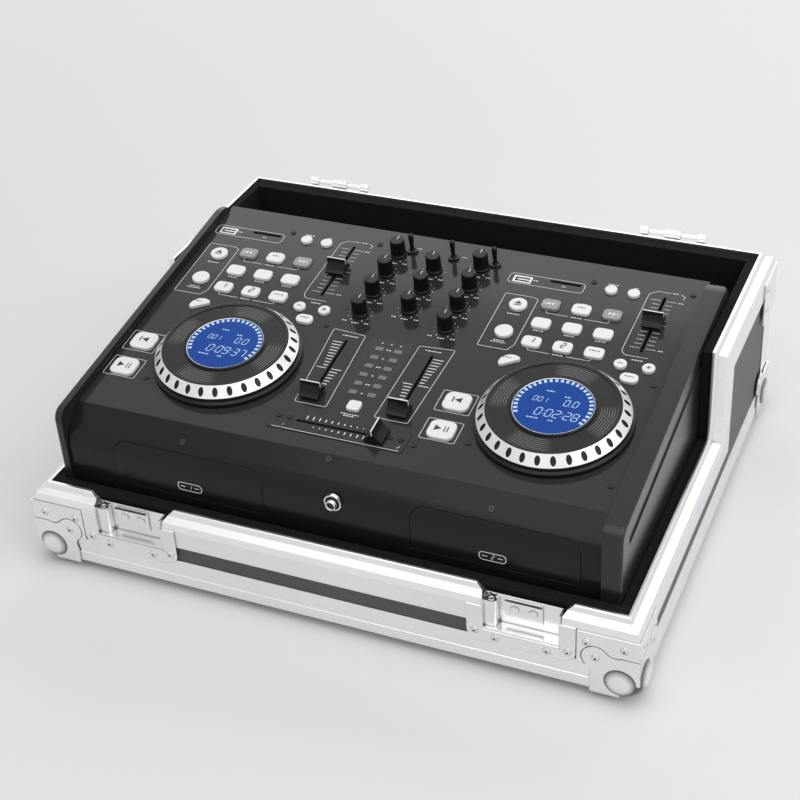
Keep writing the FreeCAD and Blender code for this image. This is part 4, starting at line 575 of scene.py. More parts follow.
def jog_finish(side):
    """Silver slope with dark hollows, black rim below it and black plate with grooves in four sectors, their
    pale colour a painted highlight.
    """
    material, tree, shader = base(side + "_jog_finish", grey(0.02), 0.35, gloss=0.25)
    place = Matrix.Translation(JOG[side]["pos_m"]) @ Matrix.Rotation(DECK_TILT, 4, "X")
    where = split(tree, coordinates(tree, place=place))
    x, y, w = where["X"], where["Y"], where["Z"]
    radius = distance(tree, x, y)
    angle = math_node(tree, "ARCTAN2", y, x)
    # how far a point lies under the cone of the slope
    (r0, w0), (r1, w1) = RING_OUT, RING_IN
    run = math.hypot(r0 - r1, w1 - w0)
    a, b = (w1 - w0) / run, (r0 - r1) / run
    level = (a * r0 + b * w0) * MM
    height = math_node(tree, "ADD", product(tree, radius, a), product(tree, w, b))
    on_slope = math_node(tree, "GREATER_THAN", height, level - SLOPE_SKIN * MM)
    outside = math_node(tree, "GREATER_THAN", radius, (r1 - SLOPE_EDGE) * MM)
    above = math_node(tree, "GREATER_THAN", w, (w0 - SLOPE_EDGE) * MM)
    silver = product(tree, on_slope, outside, above)
    # vinyl-like grooves in four sectors of the plate; their pale colour is a painted highlight, where light
    # would catch them
    wave = math_node(tree, "SINE", product(tree, radius, 2 * math.pi / (GROOVE_PITCH * MM)))
    groove = spread(tree, wave, 0.0, 1.0, 0.35, 0.85)
    folded = math_node(tree, "COSINE", math_node(tree, "MULTIPLY_ADD", angle, GROOVE_SECTORS, SECTOR_TURN))
    glint_sector = spread(tree, folded, 0.0, 1.0, -0.15, 0.55)
    inside = math_node(tree, "LESS_THAN", radius, (r1 - GROOVE_MARGINS[1]) * MM)
    beyond = math_node(tree, "GREATER_THAN", radius, (GLASS_R + GROOVE_MARGINS[0]) * MM)
    groove = product(tree, groove, inside, beyond, glint_sector)
    cloud = noise(tree, 60, 3.0)
    black = blend(tree, cloud, grey(0.010), grey(0.018))
    # painted highlight: pale colour along the grooves in the sectors
    plate = blend(tree, groove, black, (0.20, 0.195, 0.18))
    metal = blend(tree, noise(tree, 300, 3.0), grey(0.80), grey(0.88))
    tint(tree, shader, silver, plate, metal)
    wire(tree, shader, "Metallic", product(tree, silver, 0.8))
    wire(tree, shader, "Roughness", spread(tree, silver, 0.30, 0.36))
    relief(tree, shader, math_node(tree, "SUBTRACT", cloud, groove), 0.3, 0.5, 0.4)
    return material


def matt_ink(name, colour):
    material, tree, shader = base(name, colour, 0.5)
    patchy = noise(tree, 900, 3.0)
    tint(tree, shader, patchy, shade(colour, 0.86), colour)
    roughen(tree, shader, patchy, 0.42, 0.58)
    relief(tree, shader, patchy, 0.02, 0.4)
    return material


def lcd_glass():
    """Blue backlit window whose light is a little uneven."""
    material, tree, shader = base("lcd_glass", (0.004, 0.02, 0.10), 0.1, gloss=0.15)
    shader.inputs["Emission Strength"].default_value = 1.0
    glow = noise(tree, 16, 1.0)
    glow_colour = blend(tree, glow, (0.002, 0.035, 0.20), (0.010, 0.055, 0.25))
    wire(tree, shader, "Emission Color", glow_colour)
    roughen(tree, shader, noise(tree, 300, 2.0), 0.07, 0.14)
    return material


def lcd_marks():
    material, tree, shader = base("lcd_marks", (0.35, 0.48, 0.66), 0.4)
    shader.inputs["Emission Strength"].default_value = 0.36
    flicker = noise(tree, 500, 1.0)
    wire(tree, shader, "Emission Color", blend(tree, flicker, (0.50, 0.72, 1.0), (0.75, 0.88, 1.0)))
    roughen(tree, shader, flicker, 0.32, 0.48)
    return material


def led_lens():
    """Unlit smoky lens over each light."""
    material, tree, shader = base("led_lens", (0.20, 0.20, 0.19), 0.28)
    mottle = noise(tree, 500, 3.0)
    tint(tree, shader, mottle, (0.10, 0.10, 0.096), (0.22, 0.22, 0.21))
    relief(tree, shader, mottle, 0.1, 0.3, 0.4)
    return material


def dark_metal(name, colour, roughness):
    material, tree, shader = base(name, colour, roughness, 0.9)
    fine = noise(tree, 900, 3.0)
    roughen(tree, shader, fine, roughness - 0.06, roughness + 0.1)
    relief(tree, shader, fine, 0.05, 0.3, 0.2)
    return material


def bright_nickel():
    material, tree, shader = base("bright_nickel", (0.80, 0.79, 0.77), 0.16, 1.0)
    cloud = noise(tree, 250, 3.0)
    roughen(tree, shader, cloud, 0.11, 0.24)
    relief(tree, shader, cloud, 0.05, 0.2, 0.4)
    return material


def port_finish():
    """Bright shell round each USB socket and a black card guide."""
    material, tree, shader = base("port_finish", grey(0.02), 0.35)
    where = split(tree, coordinates(tree, place=DECK))
    columns = [JOG_U[side] + USB_AT[0] for side in SIDES]
    shallow = math_node(tree, "GREATER_THAN", where["Z"], -USB_SHELL_D * MM)
    shell = product(tree, in_boxes(tree, where, columns, USB_AT[1], *USB_HALF), shallow)
    cloud = noise(tree, 300, 3.0)
    tone = blend(tree, cloud, grey(0.62), grey(0.80))
    tint(tree, shader, shell, grey(0.015), tone)
    wire(tree, shader, "Metallic", shell)
    relief(tree, shader, cloud, 0.04, 0.3, 0.3)
    return material


def rear_socket_finish():
    """Nickel barrels, with the black inlet and switch beside them."""
    material, tree, shader = base("rear_socket_finish", grey(0.02), 0.4)
    where = split(tree, coordinates(tree))
    barrels = math_node(tree, "LESS_THAN", where["X"], 0.0)
    cloud = noise(tree, 300, 3.0)
    tone = blend(tree, cloud, (0.60, 0.59, 0.56), (0.78, 0.77, 0.74))
    tint(tree, shader, barrels, grey(0.018), tone)
    wire(tree, shader, "Metallic", barrels)
    relief(tree, shader, cloud, 0.04, 0.3, 0.4)
    return material


def circuit_board():
    """Green boards with paler tracks under the deck, and black switch and fader bodies above them."""
    material, tree, shader = base("circuit_board", (0.01, 0.10, 0.04), 0.35)
    tracks = add_node(tree, "TexBrick")
    tracks.inputs["Scale"].default_value = 90
    greens = {"Color1": (0.008, 0.085, 0.035), "Color2": (0.012, 0.105, 0.045), "Mortar": (0.05, 0.24, 0.10)}
    for socket, colour in greens.items():
        tracks.inputs[socket].default_value = (*colour, 1)
    tree.links.new(coordinates(tree), tracks.inputs["Vector"])
    height = split(tree, coordinates(tree, place=DECK))["Z"]
    body = math_node(tree, "GREATER_THAN", height, BOARD_W * MM)
    tint(tree, shader, body, tracks.outputs["Color"], grey(0.012))
    relief(tree, shader, tracks.outputs["Fac"], 0.04, 0.5, 0.3)
    return material


# ---- finishes on the CAD nodes ----
def coat(material, *names):
    for name in names:
        data = NODES[name].data
        data.materials.clear()
        data.materials.append(material)


def finish_case():
    coat(drawn_aluminium(), "edge_profiles", "rim_profiles")
    coat(plated_steel(), "latch_dishes", "lid_hinges")
    coat(plated_steel("corner_steel", paint_ball_reflections=True), "corner_hardware")
    coat(plated_steel("rivet_steel", 0.74), "rivets")
    coat(case_laminate(), "case_walls", "case_floor")
    coat(foam(), "foam_lining")
    coat(foot_rubber(), "rubber_feet")


def finish_console():
    coat(powder_coat("deck_coat", grey(0.026), 0.10, 1.3, 0.35), "deck_plate", "crossfader_plate")
    coat(front_coat("front_coat"), "front_fascia", "chassis_pan")
    coat(front_coat("tray_coat"), "left_disc_tray", "right_disc_tray")
    coat(powder_coat("cheek_coat", grey(0.014), 0.22, 1.5, 0.4), "side_cheeks")
    coat(dark_metal("black_screws", grey(0.05), 0.35), "deck_screws")
    coat(bright_nickel(), "headphone_jack", "left_spindle", "right_spindle")
    coat(port_finish(), "media_ports")
    coat(rear_socket_finish(), "rear_connectors")
    coat(led_lens(), "level_meter")
    coat(moulded("cap_plastic", grey(0.006), 0.26, 0.25), "jog_bases", "display_modules", "crossfader",
         "channel_fader_1", "channel_fader_2", "left_pitch_fader", "right_pitch_fader",
         "toggle_ch1", "toggle_cue", "toggle_ch2")
    knobs = [name for name in NODES if "_knob_" in name]
    coat(moulded("knob_plastic", grey(0.006), 0.26, 0.3), *knobs)
    coat(dark_metal("mechanism_zinc", (0.45, 0.45, 0.44), 0.38), "disc_loaders")
    coat(circuit_board(), "control_boards")


def finish_controls():
    key = key_plastic()
    coat(key, "relay_key")
    for side in SIDES:
        coat(key, side + "_cue_key", side + "_play_key", side + "_eject_key", side + "_pitch_keys")
        coat(keypad_plastic(side), side + "_keypad")
        coat(jog_finish(side), side + "_jog_wheel")


# ---- printed marks; places on one deck are measured from the middle of its wheel ----
OUTLINE_W, TICK_W = 0.5, 0.45      # widths of printed outlines and graduations
KEY_FRAMES = ((-98.2, -68.1, -12.7, 12.0), (-98.0, -67.8, -46.5, -22.5))
PORT_FRAME = ((-95.0, 161.2), (-31.0, 161.2), (-28.6, 163.8), (-28.6, 172.0), (-31.0, 174.6),
              (-95.0, 174.6), (-97.4, 172.0), (-97.4, 163.8))
COLUMN_FRAME = ((-92.6, 73.0), (-66.4, 73.0), (-62.2, 80.5), (-62.2, 143.4), (-67.0, 145.6), (-92.6, 145.6))
ROW_BRACKETS = ((128.2, 3.6), (77.6, 3.4))      # v of the line under a row of keys, rise of its ends
PITCH_BRACKET = ((46.0, 181.0), (33.5, 181.0), (27.4, 176.0), (26.0, 98.0), (29.6, 93.0), (50.0, 93.0))
PITCH_HOOK = ((54.0, 181.0), (58.6, 179.0), (57.0, 174.8))
DECK_CAPTIONS = (                               # u, v and length
    (-76.8, 119.6, 11.0), (-77.0, 83.2, 9.0), (-77.0, 80.9, 13.0), (-73.0, 168.2, 4.5), (-46.6, 166.2, 3.5),
    (-5.2, 179.9, 9.5), (15.0, 179.9, 3.6), (50.0, 181.2, 5.8), (42.3, 88.6, 10.0), (-21.6, 147.6, 5.0))
TOP_CAPTIONS = ((-36.0, 186.0, 6.0), (8.5, 184.0, 6.0))
PITCH_TICKS, PITCH_STEP, PITCH_CLEAR = 6, 5.4, 2.6      # each way from the middle of the slot
SHORT_TICK, LONG_TICK = 6.0, 8.6
DIAL_DOTS, DIAL_R, DOT_R, DIAL_BAR = 11, 10.4, 0.42, (0.7, 1.7)
KNOB_CAPTIONS = ((0, -12.6, 6.5), (-DIAL_R, -11.6, 4.2), (DIAL_R, -11.6, 4.2))  # u, v and length
KNOB_SWEEP = JOINTS["ch1_knob_1_turn"]["range_deg"][1]
CHANNEL_FRAMES = (
    ((-66.0, 60.7), (-35.4, 58.4), (-31.1, -34.4), (-59.6, -34.4)),
    ((14.6, 58.4), (46.3, 60.7), (41.3, -34.6), (12.0, -34.6)))
CHANNEL_TICKS, CHANNEL_STEP, CHANNEL_CLEAR = 9, 3.8, 2.4
TICKS_ABOVE, TICKS_BELOW = (4.2, 5.0), (6.6, -4.4)      # length of the first, and what the last has more
CROSS_STEP, CROSS_BAR = 5.52, (1.0, 0.9, 3.3)           # a bar's width, least length and growth
CROSS_ROWS = ((-29.8, 5.4, 10, True), (-20.3, -4.2, 9, False))  # first u, v, count, and whether it falls
CROSS_RULE = (-55.0, 57.0, -11.2)       # ends and place of the line under the slot
CROSS_DIGITS = (("1", -58.0), ("2", 44.0))
CROSS_DIGIT = (-64.6, 3.0, 0.7)         # v, height and stroke
CROSS_PLATE_T = 0.8
METER_WINDOW = (-30.8, 9.5, -13.7, 58.2)


def deck_side_marks(mesh, at):
    """Frames, brackets and captions of one deck; at is the middle of its wheel."""
    def outline(points, radius, closed=True):
        line(mesh, rounded_path([(at + u, v) for u, v in points], radius, closed), OUTLINE_W, closed)

    for edges in KEY_FRAMES:
        outline(box_path(*edges), 1.6)
    line(mesh, [(at + u, v) for u, v in PORT_FRAME], OUTLINE_W, True)
    outline(COLUMN_FRAME, 1.4)
    for v, rise in ROW_BRACKETS:
        outline(((-50.8, v + rise), (-49.6, v), (-30.5, v)), 1.0, False)
        outline(((5.0, v + rise), (4.8, v), (-16.0, v)), 1.0, False)
        caption(mesh, at - 23.2, v, 9.0)
    outline(PITCH_BRACKET, 2.4, False)
    outline(PITCH_HOOK, 1.4, False)
    for u, v, long in DECK_CAPTIONS:
        caption(mesh, at + u, v, long)
    for u in KEY_COLS:
        caption(mesh, at + u, EFFECT_ROW - KEY_D / 2 - 2.0, 9.0)


def pitch_marks(mesh, at):
    """Graduations both sides of the pitch slot, longer at its ends and middle."""
    u, v = at + PITCH_SLOT_AT[0], PITCH_SLOT_AT[1]
    for i in range(-PITCH_TICKS, PITCH_TICKS + 1):
        reach = LONG_TICK if i in (-PITCH_TICKS, 0, PITCH_TICKS) else SHORT_TICK
        for side in (-1, 1):
            bar(mesh, u + side * (PITCH_CLEAR + reach / 2), v + i * PITCH_STEP, reach, TICK_W)
    for i in (-PITCH_TICKS, PITCH_TICKS):
        caption(mesh, u + 15.0, v + i * PITCH_STEP, 4.0)


def knob_marks(mesh, u, v):
    """Dots round a knob, with bars at its limits and middle, and captions below it."""
    last = DIAL_DOTS - 1
    for i in range(DIAL_DOTS):
        turn = math.radians(KNOB_SWEEP * (2 * i / last - 1))
        spot = (u + DIAL_R * math.sin(turn), v + DIAL_R * math.cos(turn))
        if i in (0, last // 2, last):
            bar(mesh, *spot, *DIAL_BAR, turn=-turn)
        else:
            disc(mesh, *spot, DOT_R, INK_LIFT, 8)
    for across, along, long in KNOB_CAPTIONS:
        caption(mesh, u + across, v + along, long)


def channel_marks(mesh, index):
    """Frame and graduations of a channel fader; the two channels mirror each other."""
    u = CHANNEL_U[index]
    way = -1 if index == 0 else 1
    line(mesh, rounded_path(CHANNEL_FRAMES[index], 2.0), OUTLINE_W, True)
    caption(mesh, u - way, 54.6, 15.0)
    for i in range(CHANNEL_TICKS):
        grown = i / (CHANNEL_TICKS - 1)
        for up, (first, more) in ((1, TICKS_ABOVE), (-1, TICKS_BELOW)):
            reach = first + more * grown
            off = up * way * (CHANNEL_CLEAR + reach / 2)
            bar(mesh, u + off, CHANNEL_V + up * CHANNEL_STEP * (i + 1), reach, 0.9)
    for side in (-1, 1):
        bar(mesh, u + side * 7.0, CHANNEL_V, 8.8, 0.8)


def cross_marks(mesh, w):
    """Bars that shrink above the crossfader's slot and grow below it, over a long line."""
    u, v = CROSS_AT
    wide, least, growth = CROSS_BAR
    for first, off, count, falls in CROSS_ROWS:
        for i in range(count):
            grown = i / (count - 1)
            long = least + growth * (1 - grown if falls else grown)
            bar(mesh, u + first + CROSS_STEP * i, v + off, wide, long, w)
    start, stop, below = CROSS_RULE
    line(mesh, [(u + start, v + below), (u + stop, v + below)], OUTLINE_W, w=w)


def meter_marks(mesh):
    """Dashes between the two columns of lights, above them and under the relay key."""
    for i in range(METER_ROWS):
        v = METER_V + (i - (METER_ROWS - 1) / 2) * METER_PITCH
        caption(mesh, METER_U, v, 2.6 + (i % 2) * 1.6)
    for side in (-1, 0, 1):
        caption(mesh, METER_U + side * METER_DX, METER_V + 3.05 * METER_PITCH + 1.4, 2.2)
    for below, long in ((9.2, 16.0), (11.4, 10.0)):
        caption(mesh, RELAY_AT[0], RELAY_AT[1] - below, long)


def knob_places():
    """Name and middle of each knob."""
    for column, u, v, count in zip(("ch1", "master", "ch2"), KNOB_U, KNOB_V, KNOB_COUNT):
        for i in range(count):
            yield "%s_knob_%d" % (column, i + 1), u, v + i * KNOB_PITCH


def print_deck(ink):
    mesh = bmesh.new()
    for side in SIDES:
        deck_side_marks(mesh, JOG_U[side])
        pitch_marks(mesh, JOG_U[side])
    for _, u, v in knob_places():
        knob_marks(mesh, u, v)
    for index in (0, 1):
        channel_marks(mesh, index)
    meter_marks(mesh)
    for u, v, long in TOP_CAPTIONS:
        caption(mesh, u, v, long)
    piece("deck_print", mesh, ink)


def print_plate(ink):
    """Marks on the crossfader's plate, with the plain channel numbers."""
    mesh = bmesh.new()
    w = CROSS_PLATE_T + INK_LIFT
    cross_marks(mesh, w)
    for number, u in CROSS_DIGITS:
        digit(mesh, number, u, *CROSS_DIGIT, w)
    piece("crossfader_print", mesh, ink)


def print_window():
    """Slightly darker gloss patch behind the level lights."""
    material, tree, shader = base("meter_window", (0.016, 0.016, 0.017), 0.18)
    wire(tree, shader, "Roughness", spread(tree, noise(tree, 120, 2.0), 0.14, 0.24))
    mesh = bmesh.new()
    patch(mesh, rounded_path(box_path(*METER_WINDOW), 2.0), INK_LIFT / 2)
    piece("meter_window", mesh, material)


# ---- marks on keys, knobs and faders ----
KEY_INK = KEY_TOP + INK_LIFT
POINTER_W, POINTER_LONG, POINTER_OUT = 1.1, 5.4, 3.3
CAP_LINE_W, CAP_LINE_DROP = 1.3, 5.0


def eject_marks(mesh, at):
    u, v = at + EJECT_AT[0], EJECT_AT[1]
    patch(mesh, [(u - 3.4, v - 0.4), (u + 3.4, v - 0.4), (u, v + 3.6)], KEY_INK)
    bar(mesh, u, v - 2.0, 6.8, 1.1, KEY_INK)


def play_marks(mesh, at):
    u, v = at + PLAY_AT[0], PLAY_AT[1]
    patch(mesh, [(u - 6.2, v - 3.0), (u - 0.2, v + 0.4), (u - 6.2, v + 3.8)], KEY_INK)
    for off in (2.4, 5.0):
        bar(mesh, u + off, v + 0.4, 1.0, 6.4, KEY_INK)


def cue_marks(mesh, at):
    u, v = at + CUE_AT[0], CUE_AT[1] + 1.4
    patch(mesh, [(u - 2.6, v), (u + 3.6, v - 3.2), (u + 3.6, v + 3.2)], KEY_INK)
    bar(mesh, u - 3.8, v, 1.2, 6.4, KEY_INK)


def pitch_key_marks(mesh, at):
    """Minus, plus and a caption."""
    for u, v in (MINUS_AT, PLUS_AT):
        bar(mesh, at + u, v, 4.4, 0.9, KEY_INK)
    bar(mesh, at + PLUS_AT[0], PLUS_AT[1], 0.9, 4.4, KEY_INK)
    caption(mesh, at + OVAL_AT[0], OVAL_AT[1] + 1.0, 8.0, KEY_INK)


def keypad_marks(mesh, at):
    """Plain numbers and captions on the small keys."""
    for number, u in zip("12", KEY_COLS):
        digit(mesh, number, at + u - 1.6, LOOP_ROW - 1.8, 5.8, 1.1, KEY_INK, 0.0)
    caption(mesh, at + KEY_COLS[2], LOOP_ROW + 1.5, 9.5, KEY_INK)
    caption(mesh, at + KEY_COLS[1], SEARCH_ROW + 1.5, 7.0, KEY_INK)
    caption(mesh, at + MOON_AT[0] - 1.5, MOON_AT[1] + 1.0, 8.0, KEY_INK)


def track_marks(mesh, at):
    """Two small triangles and a bar, pointing left on one track key and right on the other."""
    v = SEARCH_ROW
    for u, way in ((at + KEY_COLS[0], -1), (at + KEY_COLS[2], 1)):
        for off in (-1.4, 2.2):
            tip = u + way * (off + 1.7)
            back = u + way * (off - 1.7)
            patch(mesh, [(back, v - 2.0), (tip, v), (back, v + 2.0)][::way], KEY_INK)
        bar(mesh, u + way * 4.6, v, 0.7, 4.0, KEY_INK)


def print_keys(ink, pale):
    prints = (
        ("eject_mark", eject_marks, "eject_key", ink), ("play_mark", play_marks, "play_key", ink),
        ("cue_mark", cue_marks, "cue_key", ink), ("pitch_key_marks", pitch_key_marks, "pitch_keys", ink),
        ("keypad_marks", keypad_marks, "keypad", ink), ("track_marks", track_marks, "keypad", pale))
    for side in SIDES:
        for name, draw, key, paint in prints:
            mesh = bmesh.new()
            draw(mesh, JOG_U[side])
            piece(side + "_" + name, mesh, paint, side + "_" + key)


def knob_pointers(ink):
    """White paint in the groove on top of each knob."""
    for name, u, v in knob_places():
        mesh = bmesh.new()
        bar(mesh, u, v + POINTER_OUT, POINTER_W, POINTER_LONG, KNOB_TOP - POINTER_DEPTH + INK_LIFT)
        piece(name + "_pointer", mesh, ink, name)


def fader_lines(ink):
    """White line along the ridge of each cap and a little way down one end."""
    faders = [("channel_fader_%d" % (i + 1), CHANNEL_U[i], CHANNEL_V) for i in (0, 1)]
    faders += [(side + "_pitch_fader", JOG_U[side] + PITCH_SLOT_AT[0], PITCH_SLOT_AT[1]) for side in SIDES]
    faders.append(("crossfader", *CROSS_AT))
    half, top = CAP_LINE_W / 2, CAP_TOP + INK_LIFT
    end, low = CAP_W / 2 + INK_LIFT, CAP_TOP + INK_LIFT - CAP_LINE_DROP
    for name, u, v in faders:
        back, forth = JOINTS[name + "_slide"]["range_m"]
        rest = -(back + forth) / 2 / MM     # from the middle of the cap's travel
        mesh = bmesh.new()
        if name == "crossfader":
            u += rest
            bar(mesh, u, v, 2 * half, CAP_W, top)
            strip = [(u - half, v - end, top), (u + half, v - end, top),
                     (u + half, v - end, low), (u - half, v - end, low)]
        else:
            v += rest
            bar(mesh, u, v, CAP_W, 2 * half, top)
            strip = [(u + end, v + half, top), (u + end, v - half, top),
                     (u + end, v - half, low), (u + end, v + half, low)]
        face(mesh, [deck_point(*point) for point in strip])
        piece(name + "_line", mesh, ink, name)


# ---- displays ----
READOUT = {"left": "0:09:37", "right": "0:02:28"}
TIME_AT, TRACK_AT, PITCH_AT = (-12.5, -13.0, 8.4, 0.7), (-18.5, 2.4, 5.4, 0.5), (7.0, 2.2, 7.0, 0.65)
LCD_LIFT, FIGURE_LIFT, LCD_EDGE = 0.05, 0.12, 0.1   # heights over the glass, and how far in it ends
RIM_LOW, RIM_HIGH, RIM_IN = 0.02, 0.5, (0.6, 0.8)
LCD_BARS, LCD_FIRST, LCD_SWEEP = 28, -27, 234       # the last two in degrees
LCD_BAR_IN, LCD_BAR_LONG, LCD_BAR_W = 3.2, 3.2, 2.2
LCD_CAPTIONS = ((-7.0, 16.0, 7.0), (8.0, 12.4, 5.0), (-12.0, -17.0, 9.0), (3.0, -17.0, 4.0))


def display(side, glass, marks):
    """Backlit window with a ring of bars and plain figures."""
    at = JOG_U[side]
    mesh = bmesh.new()
    disc(mesh, at, 0, GLASS_R - LCD_EDGE, GLASS_W + LCD_LIFT, 64)
    piece(side + "_lcd", mesh, glass)
    mesh = bmesh.new()
    w = GLASS_W + FIGURE_LIFT
    reach = GLASS_R - LCD_BAR_IN
    for i in range(LCD_BARS):
        turn = math.radians(LCD_FIRST + i * LCD_SWEEP / (LCD_BARS - 1))
        bar(mesh, at + reach * math.cos(turn), reach * math.sin(turn), LCD_BAR_LONG, LCD_BAR_W, w, turn)
    for text, (u, v, high, width) in ((READOUT[side], TIME_AT), ("001", TRACK_AT), ("0.0", PITCH_AT)):
        figures(mesh, text, at + u, v, high, width, w)
    for u, v, long in LCD_CAPTIONS:
        caption(mesh, at + u, v, long, w)
    piece(side + "_lcd_figures", mesh, marks)


def bezel(side, metal):
    """Thin bright rim round the window."""
    place = DECK @ Matrix.Translation(Vector((JOG_U[side], 0, 0)) * MM)
    outer, low, high = GLASS_R - LCD_EDGE, GLASS_W + RIM_LOW, GLASS_W + RIM_HIGH
    profile = [(outer, low), (outer, high), (GLASS_R - RIM_IN[0], high), (GLASS_R - RIM_IN[1], low)]
    turned_piece(side + "_window_rim", place, profile, metal, 64)


# ---- small turned fittings ----
def turned_piece(name, place, profile, material, steps):
    mesh = bmesh.new()
    turned(mesh, place, profile, steps)
    piece(name, mesh, material)


def tube(inner, outer, low, high):
    """Profile of a plain ring, open underneath."""
    return [(inner, low), (inner, high), (outer, high), (outer, low)]


def socket_mouth(bright, dark):
    """Black washer and protruding lip on the nut of the headphone socket."""
    low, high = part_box("headphone_jack")
    middle = (low + high) / 2
    place = Matrix.Translation((middle.x, low.y, middle.z)) @ Matrix.Rotation(math.pi / 2, 4, "X")
    washer = [(3.4, 0.05), (3.4, 0.3), (6.1, 0.3), (6.3, 0.05)]
    lip = [(3.3, 0.1), (3.3, 4.2), (3.6, 4.5), (4.1, 4.5), (4.4, 4.2), (4.4, 0.1)]
    turned_piece("socket_washer", place, washer, dark, 32)
    turned_piece("socket_lip", place, lip, bright, 32)


def rear_rings():
    """White and red insulating rings in the mouths of the rear sockets, by turns."""
    low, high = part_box("rear_connectors")
    mouth = REAR_SOCKET_R * MM
    for first, (tone, colour) in enumerate((("white", (0.70, 0.70, 0.68)), ("red", (0.50, 0.02, 0.02)))):
        plastic = moulded("ring_" + tone, colour, 0.35)
        mesh = bmesh.new()
        for i in range(first, REAR_SOCKETS, 2):
            x = low.x + mouth + i * REAR_SOCKET_PITCH * MM
            place = Matrix.Translation((x, high.y, high.z - mouth)) @ Matrix.Rotation(-math.pi / 2, 4, "X")
            turned(mesh, place, tube(1.9, 3.5, -0.6, 0.25), 24)
        piece("rear_rings_" + tone, mesh, plastic)


def turnkey(side, bright, dark):
    """Ring of the turn-key on a latch's post, in a dark washer."""
    low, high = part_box("latch_dishes")
    x = low.x + POST_FROM_EDGE * MM if side == "left" else high.x - (FLANGE_W - POST_FROM_EDGE) * MM
    place = Matrix.Translation((x, -HALF_D + POST_FROM_FACE * MM, high.z - POST_DROP * MM))
    ring = [(1.3, -1.1), (1.3, -0.2), (1.7, 0.2), (2.6, 0.2), (3.0, -0.2), (3.0, -1.1)]
    turned_piece(side + "_turnkey_ring", place, ring, bright, 24)
    turned_piece(side + "_turnkey_washer", place, tube(3.45, 3.95, 0.05, 0.35), dark, 24)


BADGE_LONG, BADGE_HIGH, BADGE_LINE = 22.0, 7.6, 0.8


def door_badge(side, ink):
    """Oval outline with the plain number of the drive, on the door of its tray."""
    x, z, number = DOOR_BADGES[side]
    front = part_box(side + "_disc_tray")[0].y - INK_LIFT * MM
    mesh = bmesh.new()
    edges = box_path(-BADGE_LONG / 2, BADGE_LONG / 2, -BADGE_HIGH / 2, BADGE_HIGH / 2)
    line(mesh, rounded_path(edges, BADGE_HIGH / 2 - 0.1, steps=8), BADGE_LINE, True, 0)
    digit(mesh, number, -1.2, -2.1, 4.2, BADGE_LINE, 0)
    for off in (-6.4, 6.4):
        bar(mesh, off, 0, 4.4, BADGE_LINE, 0)
    stand = Matrix.Translation((x * MM, front, z * MM)) @ Matrix.Rotation(math.pi / 2, 4, "X")
    mesh.transform(stand @ DECK.inverted())
    piece(side + "_door_badge", mesh, ink, side + "_disc_tray")


# ---- camera, lights and floor ----
BACKDROP = (0.80, 0.81, 0.82)
WORLD_LIGHT = 0.5
FLOOR_FADE = (0.7, 2.4)     # metres from the middle over which the floor turns into the backdrop
IMAGE = 800.0               # width of the picture that the next two are measured in
FOCAL_PX = 1627.53
PRINCIPAL = (419.98, 393.70)
SENSOR = 36.0
FLOOR_HALF = 8.0
LAMPS = (   # name, place, target, size and power
    ("key", (0.35, -0.6, 2.2), (0, 0, 0.1), (3.2, 2.5), 30),
    ("fill", (1.9, -0.3, 1.5), (0, 0, 0.1), (2.2, 2.0), 12),
    ("rear", (-0.2, 2.1, 1.3), (-0.1, 0.1, 0.15), (3.6, 1.6), 20))
CAMERA_AT = Vector((0.48839, -1.08007, 0.89879))
CAMERA_RIGHT = Vector((0.9234, 0.3811, -0.0461))
CAMERA_BACK = Vector((0.3391, -0.7535, 0.5633))


def make_camera():
    data = bpy.data.cameras.new("camera")
    data.sensor_width = SENSOR
    data.lens = FOCAL_PX / IMAGE * SENSOR
    data.shift_x = (IMAGE / 2 - PRINCIPAL[0]) / IMAGE
    data.shift_y = (PRINCIPAL[1] - IMAGE / 2) / IMAGE
    data.clip_start = 0.01
    camera = show("camera", data)
    back = CAMERA_BACK.normalized()
    up = back.cross(CAMERA_RIGHT).normalized()
    right = up.cross(back)
    camera.matrix_world = Matrix.Translation(CAMERA_AT) @ Matrix((right, up, back)).transposed().to_4x4()
    bpy.context.scene.camera = camera


def area_light(name, at, target, size, power):
    data = bpy.data.lights.new(name, "AREA")
    data.shape = "RECTANGLE"
    data.size, data.size_y = size
    data.energy = power
    light = show(name, data)
    light.location = at
    light.rotation_euler = (Vector(target) - Vector(at)).to_track_quat("-Z", "Y").to_euler()


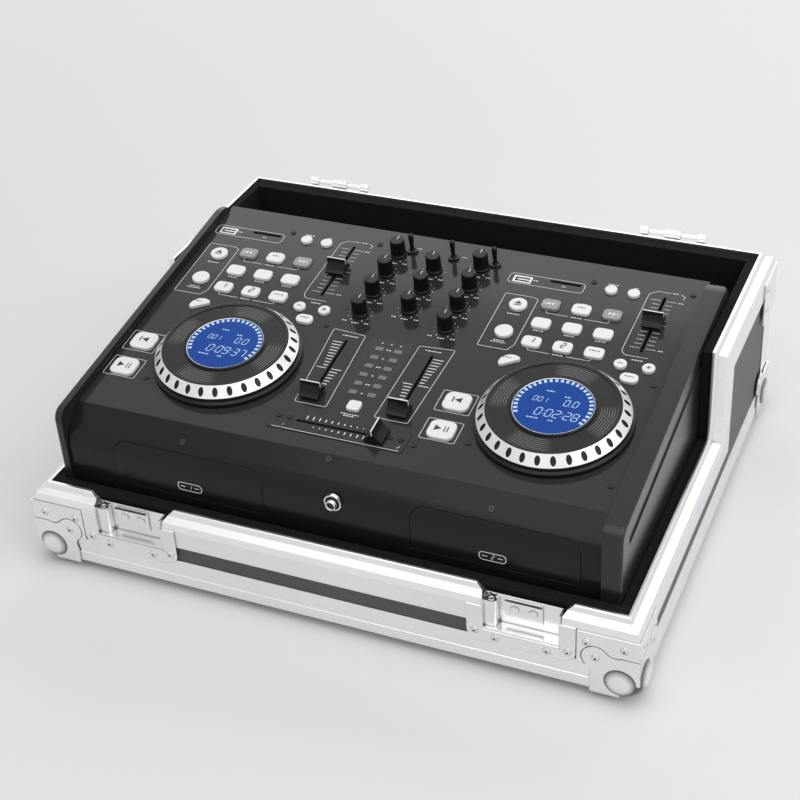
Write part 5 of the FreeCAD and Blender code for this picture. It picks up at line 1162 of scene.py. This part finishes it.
def seen_rays(tree):
    """1 for rays from the camera, mirrors and glass, 0 for rays that light the object."""
    path = add_node(tree, "LightPath").outputs
    pair = math_node(tree, "MAXIMUM", path["Is Camera Ray"], path["Is Glossy Ray"])
    return math_node(tree, "MAXIMUM", pair, path["Is Transmission Ray"])


def make_world():
    """Even light for the object, and a pale backdrop where it is seen."""
    world = bpy.data.worlds.new("studio")
    world.use_nodes = True
    tree = world.node_tree
    background = tree.nodes["Background"]
    background.inputs["Color"].default_value = (*BACKDROP, 1)
    tree.links.new(spread(tree, seen_rays(tree), WORLD_LIGHT, 1.0), background.inputs["Strength"])
    bpy.context.scene.world = world


def make_floor():
    """Matt floor that holds the shadow and turns into the backdrop further out."""
    material, tree, shader = base("studio_floor", BACKDROP, 0.85)
    where = split(tree, coordinates(tree))
    far = spread(tree, distance(tree, where["X"], where["Y"]), 0.0, 1.0, *FLOOR_FADE)
    tint(tree, shader, far, BACKDROP, grey(0.0))
    shader.inputs["Emission Color"].default_value = (*BACKDROP, 1)
    wire(tree, shader, "Emission Strength", product(tree, far, seen_rays(tree)))
    wire(tree, shader, "Specular IOR Level", spread(tree, far, 0.3, 0.0))
    mesh = bmesh.new()
    face(mesh, [(x, y, 0) for x, y in box_path(-FLOOR_HALF, FLOOR_HALF, -FLOOR_HALF, FLOOR_HALF)])
    show_mesh("floor", mesh, material)


def make_studio():
    bpy.context.scene.view_settings.view_transform = "Standard"
    make_camera()
    make_world()
    make_floor()
    for lamp in LAMPS:
        area_light(*lamp)


# ---- the whole object ----
ink = matt_ink("white_ink", (0.83, 0.83, 0.82))
dark_ink = matt_ink("dark_ink", grey(0.03))
finish_case()
finish_console()
finish_controls()
print_window()
print_deck(ink)
print_plate(ink)
print_keys(dark_ink, ink)
knob_pointers(ink)
fader_lines(ink)
glass, marks = lcd_glass(), lcd_marks()
rim_metal = plated_steel("window_rim_metal", 0.7)
dark_steel = dark_metal("dark_steel", grey(0.03), 0.35)
for side in SIDES:
    display(side, glass, marks)
    bezel(side, rim_metal)
    door_badge(side, ink)
    turnkey(side, rim_metal, dark_steel)
socket_mouth(rim_metal, dark_steel)
rear_rings()
make_studio()
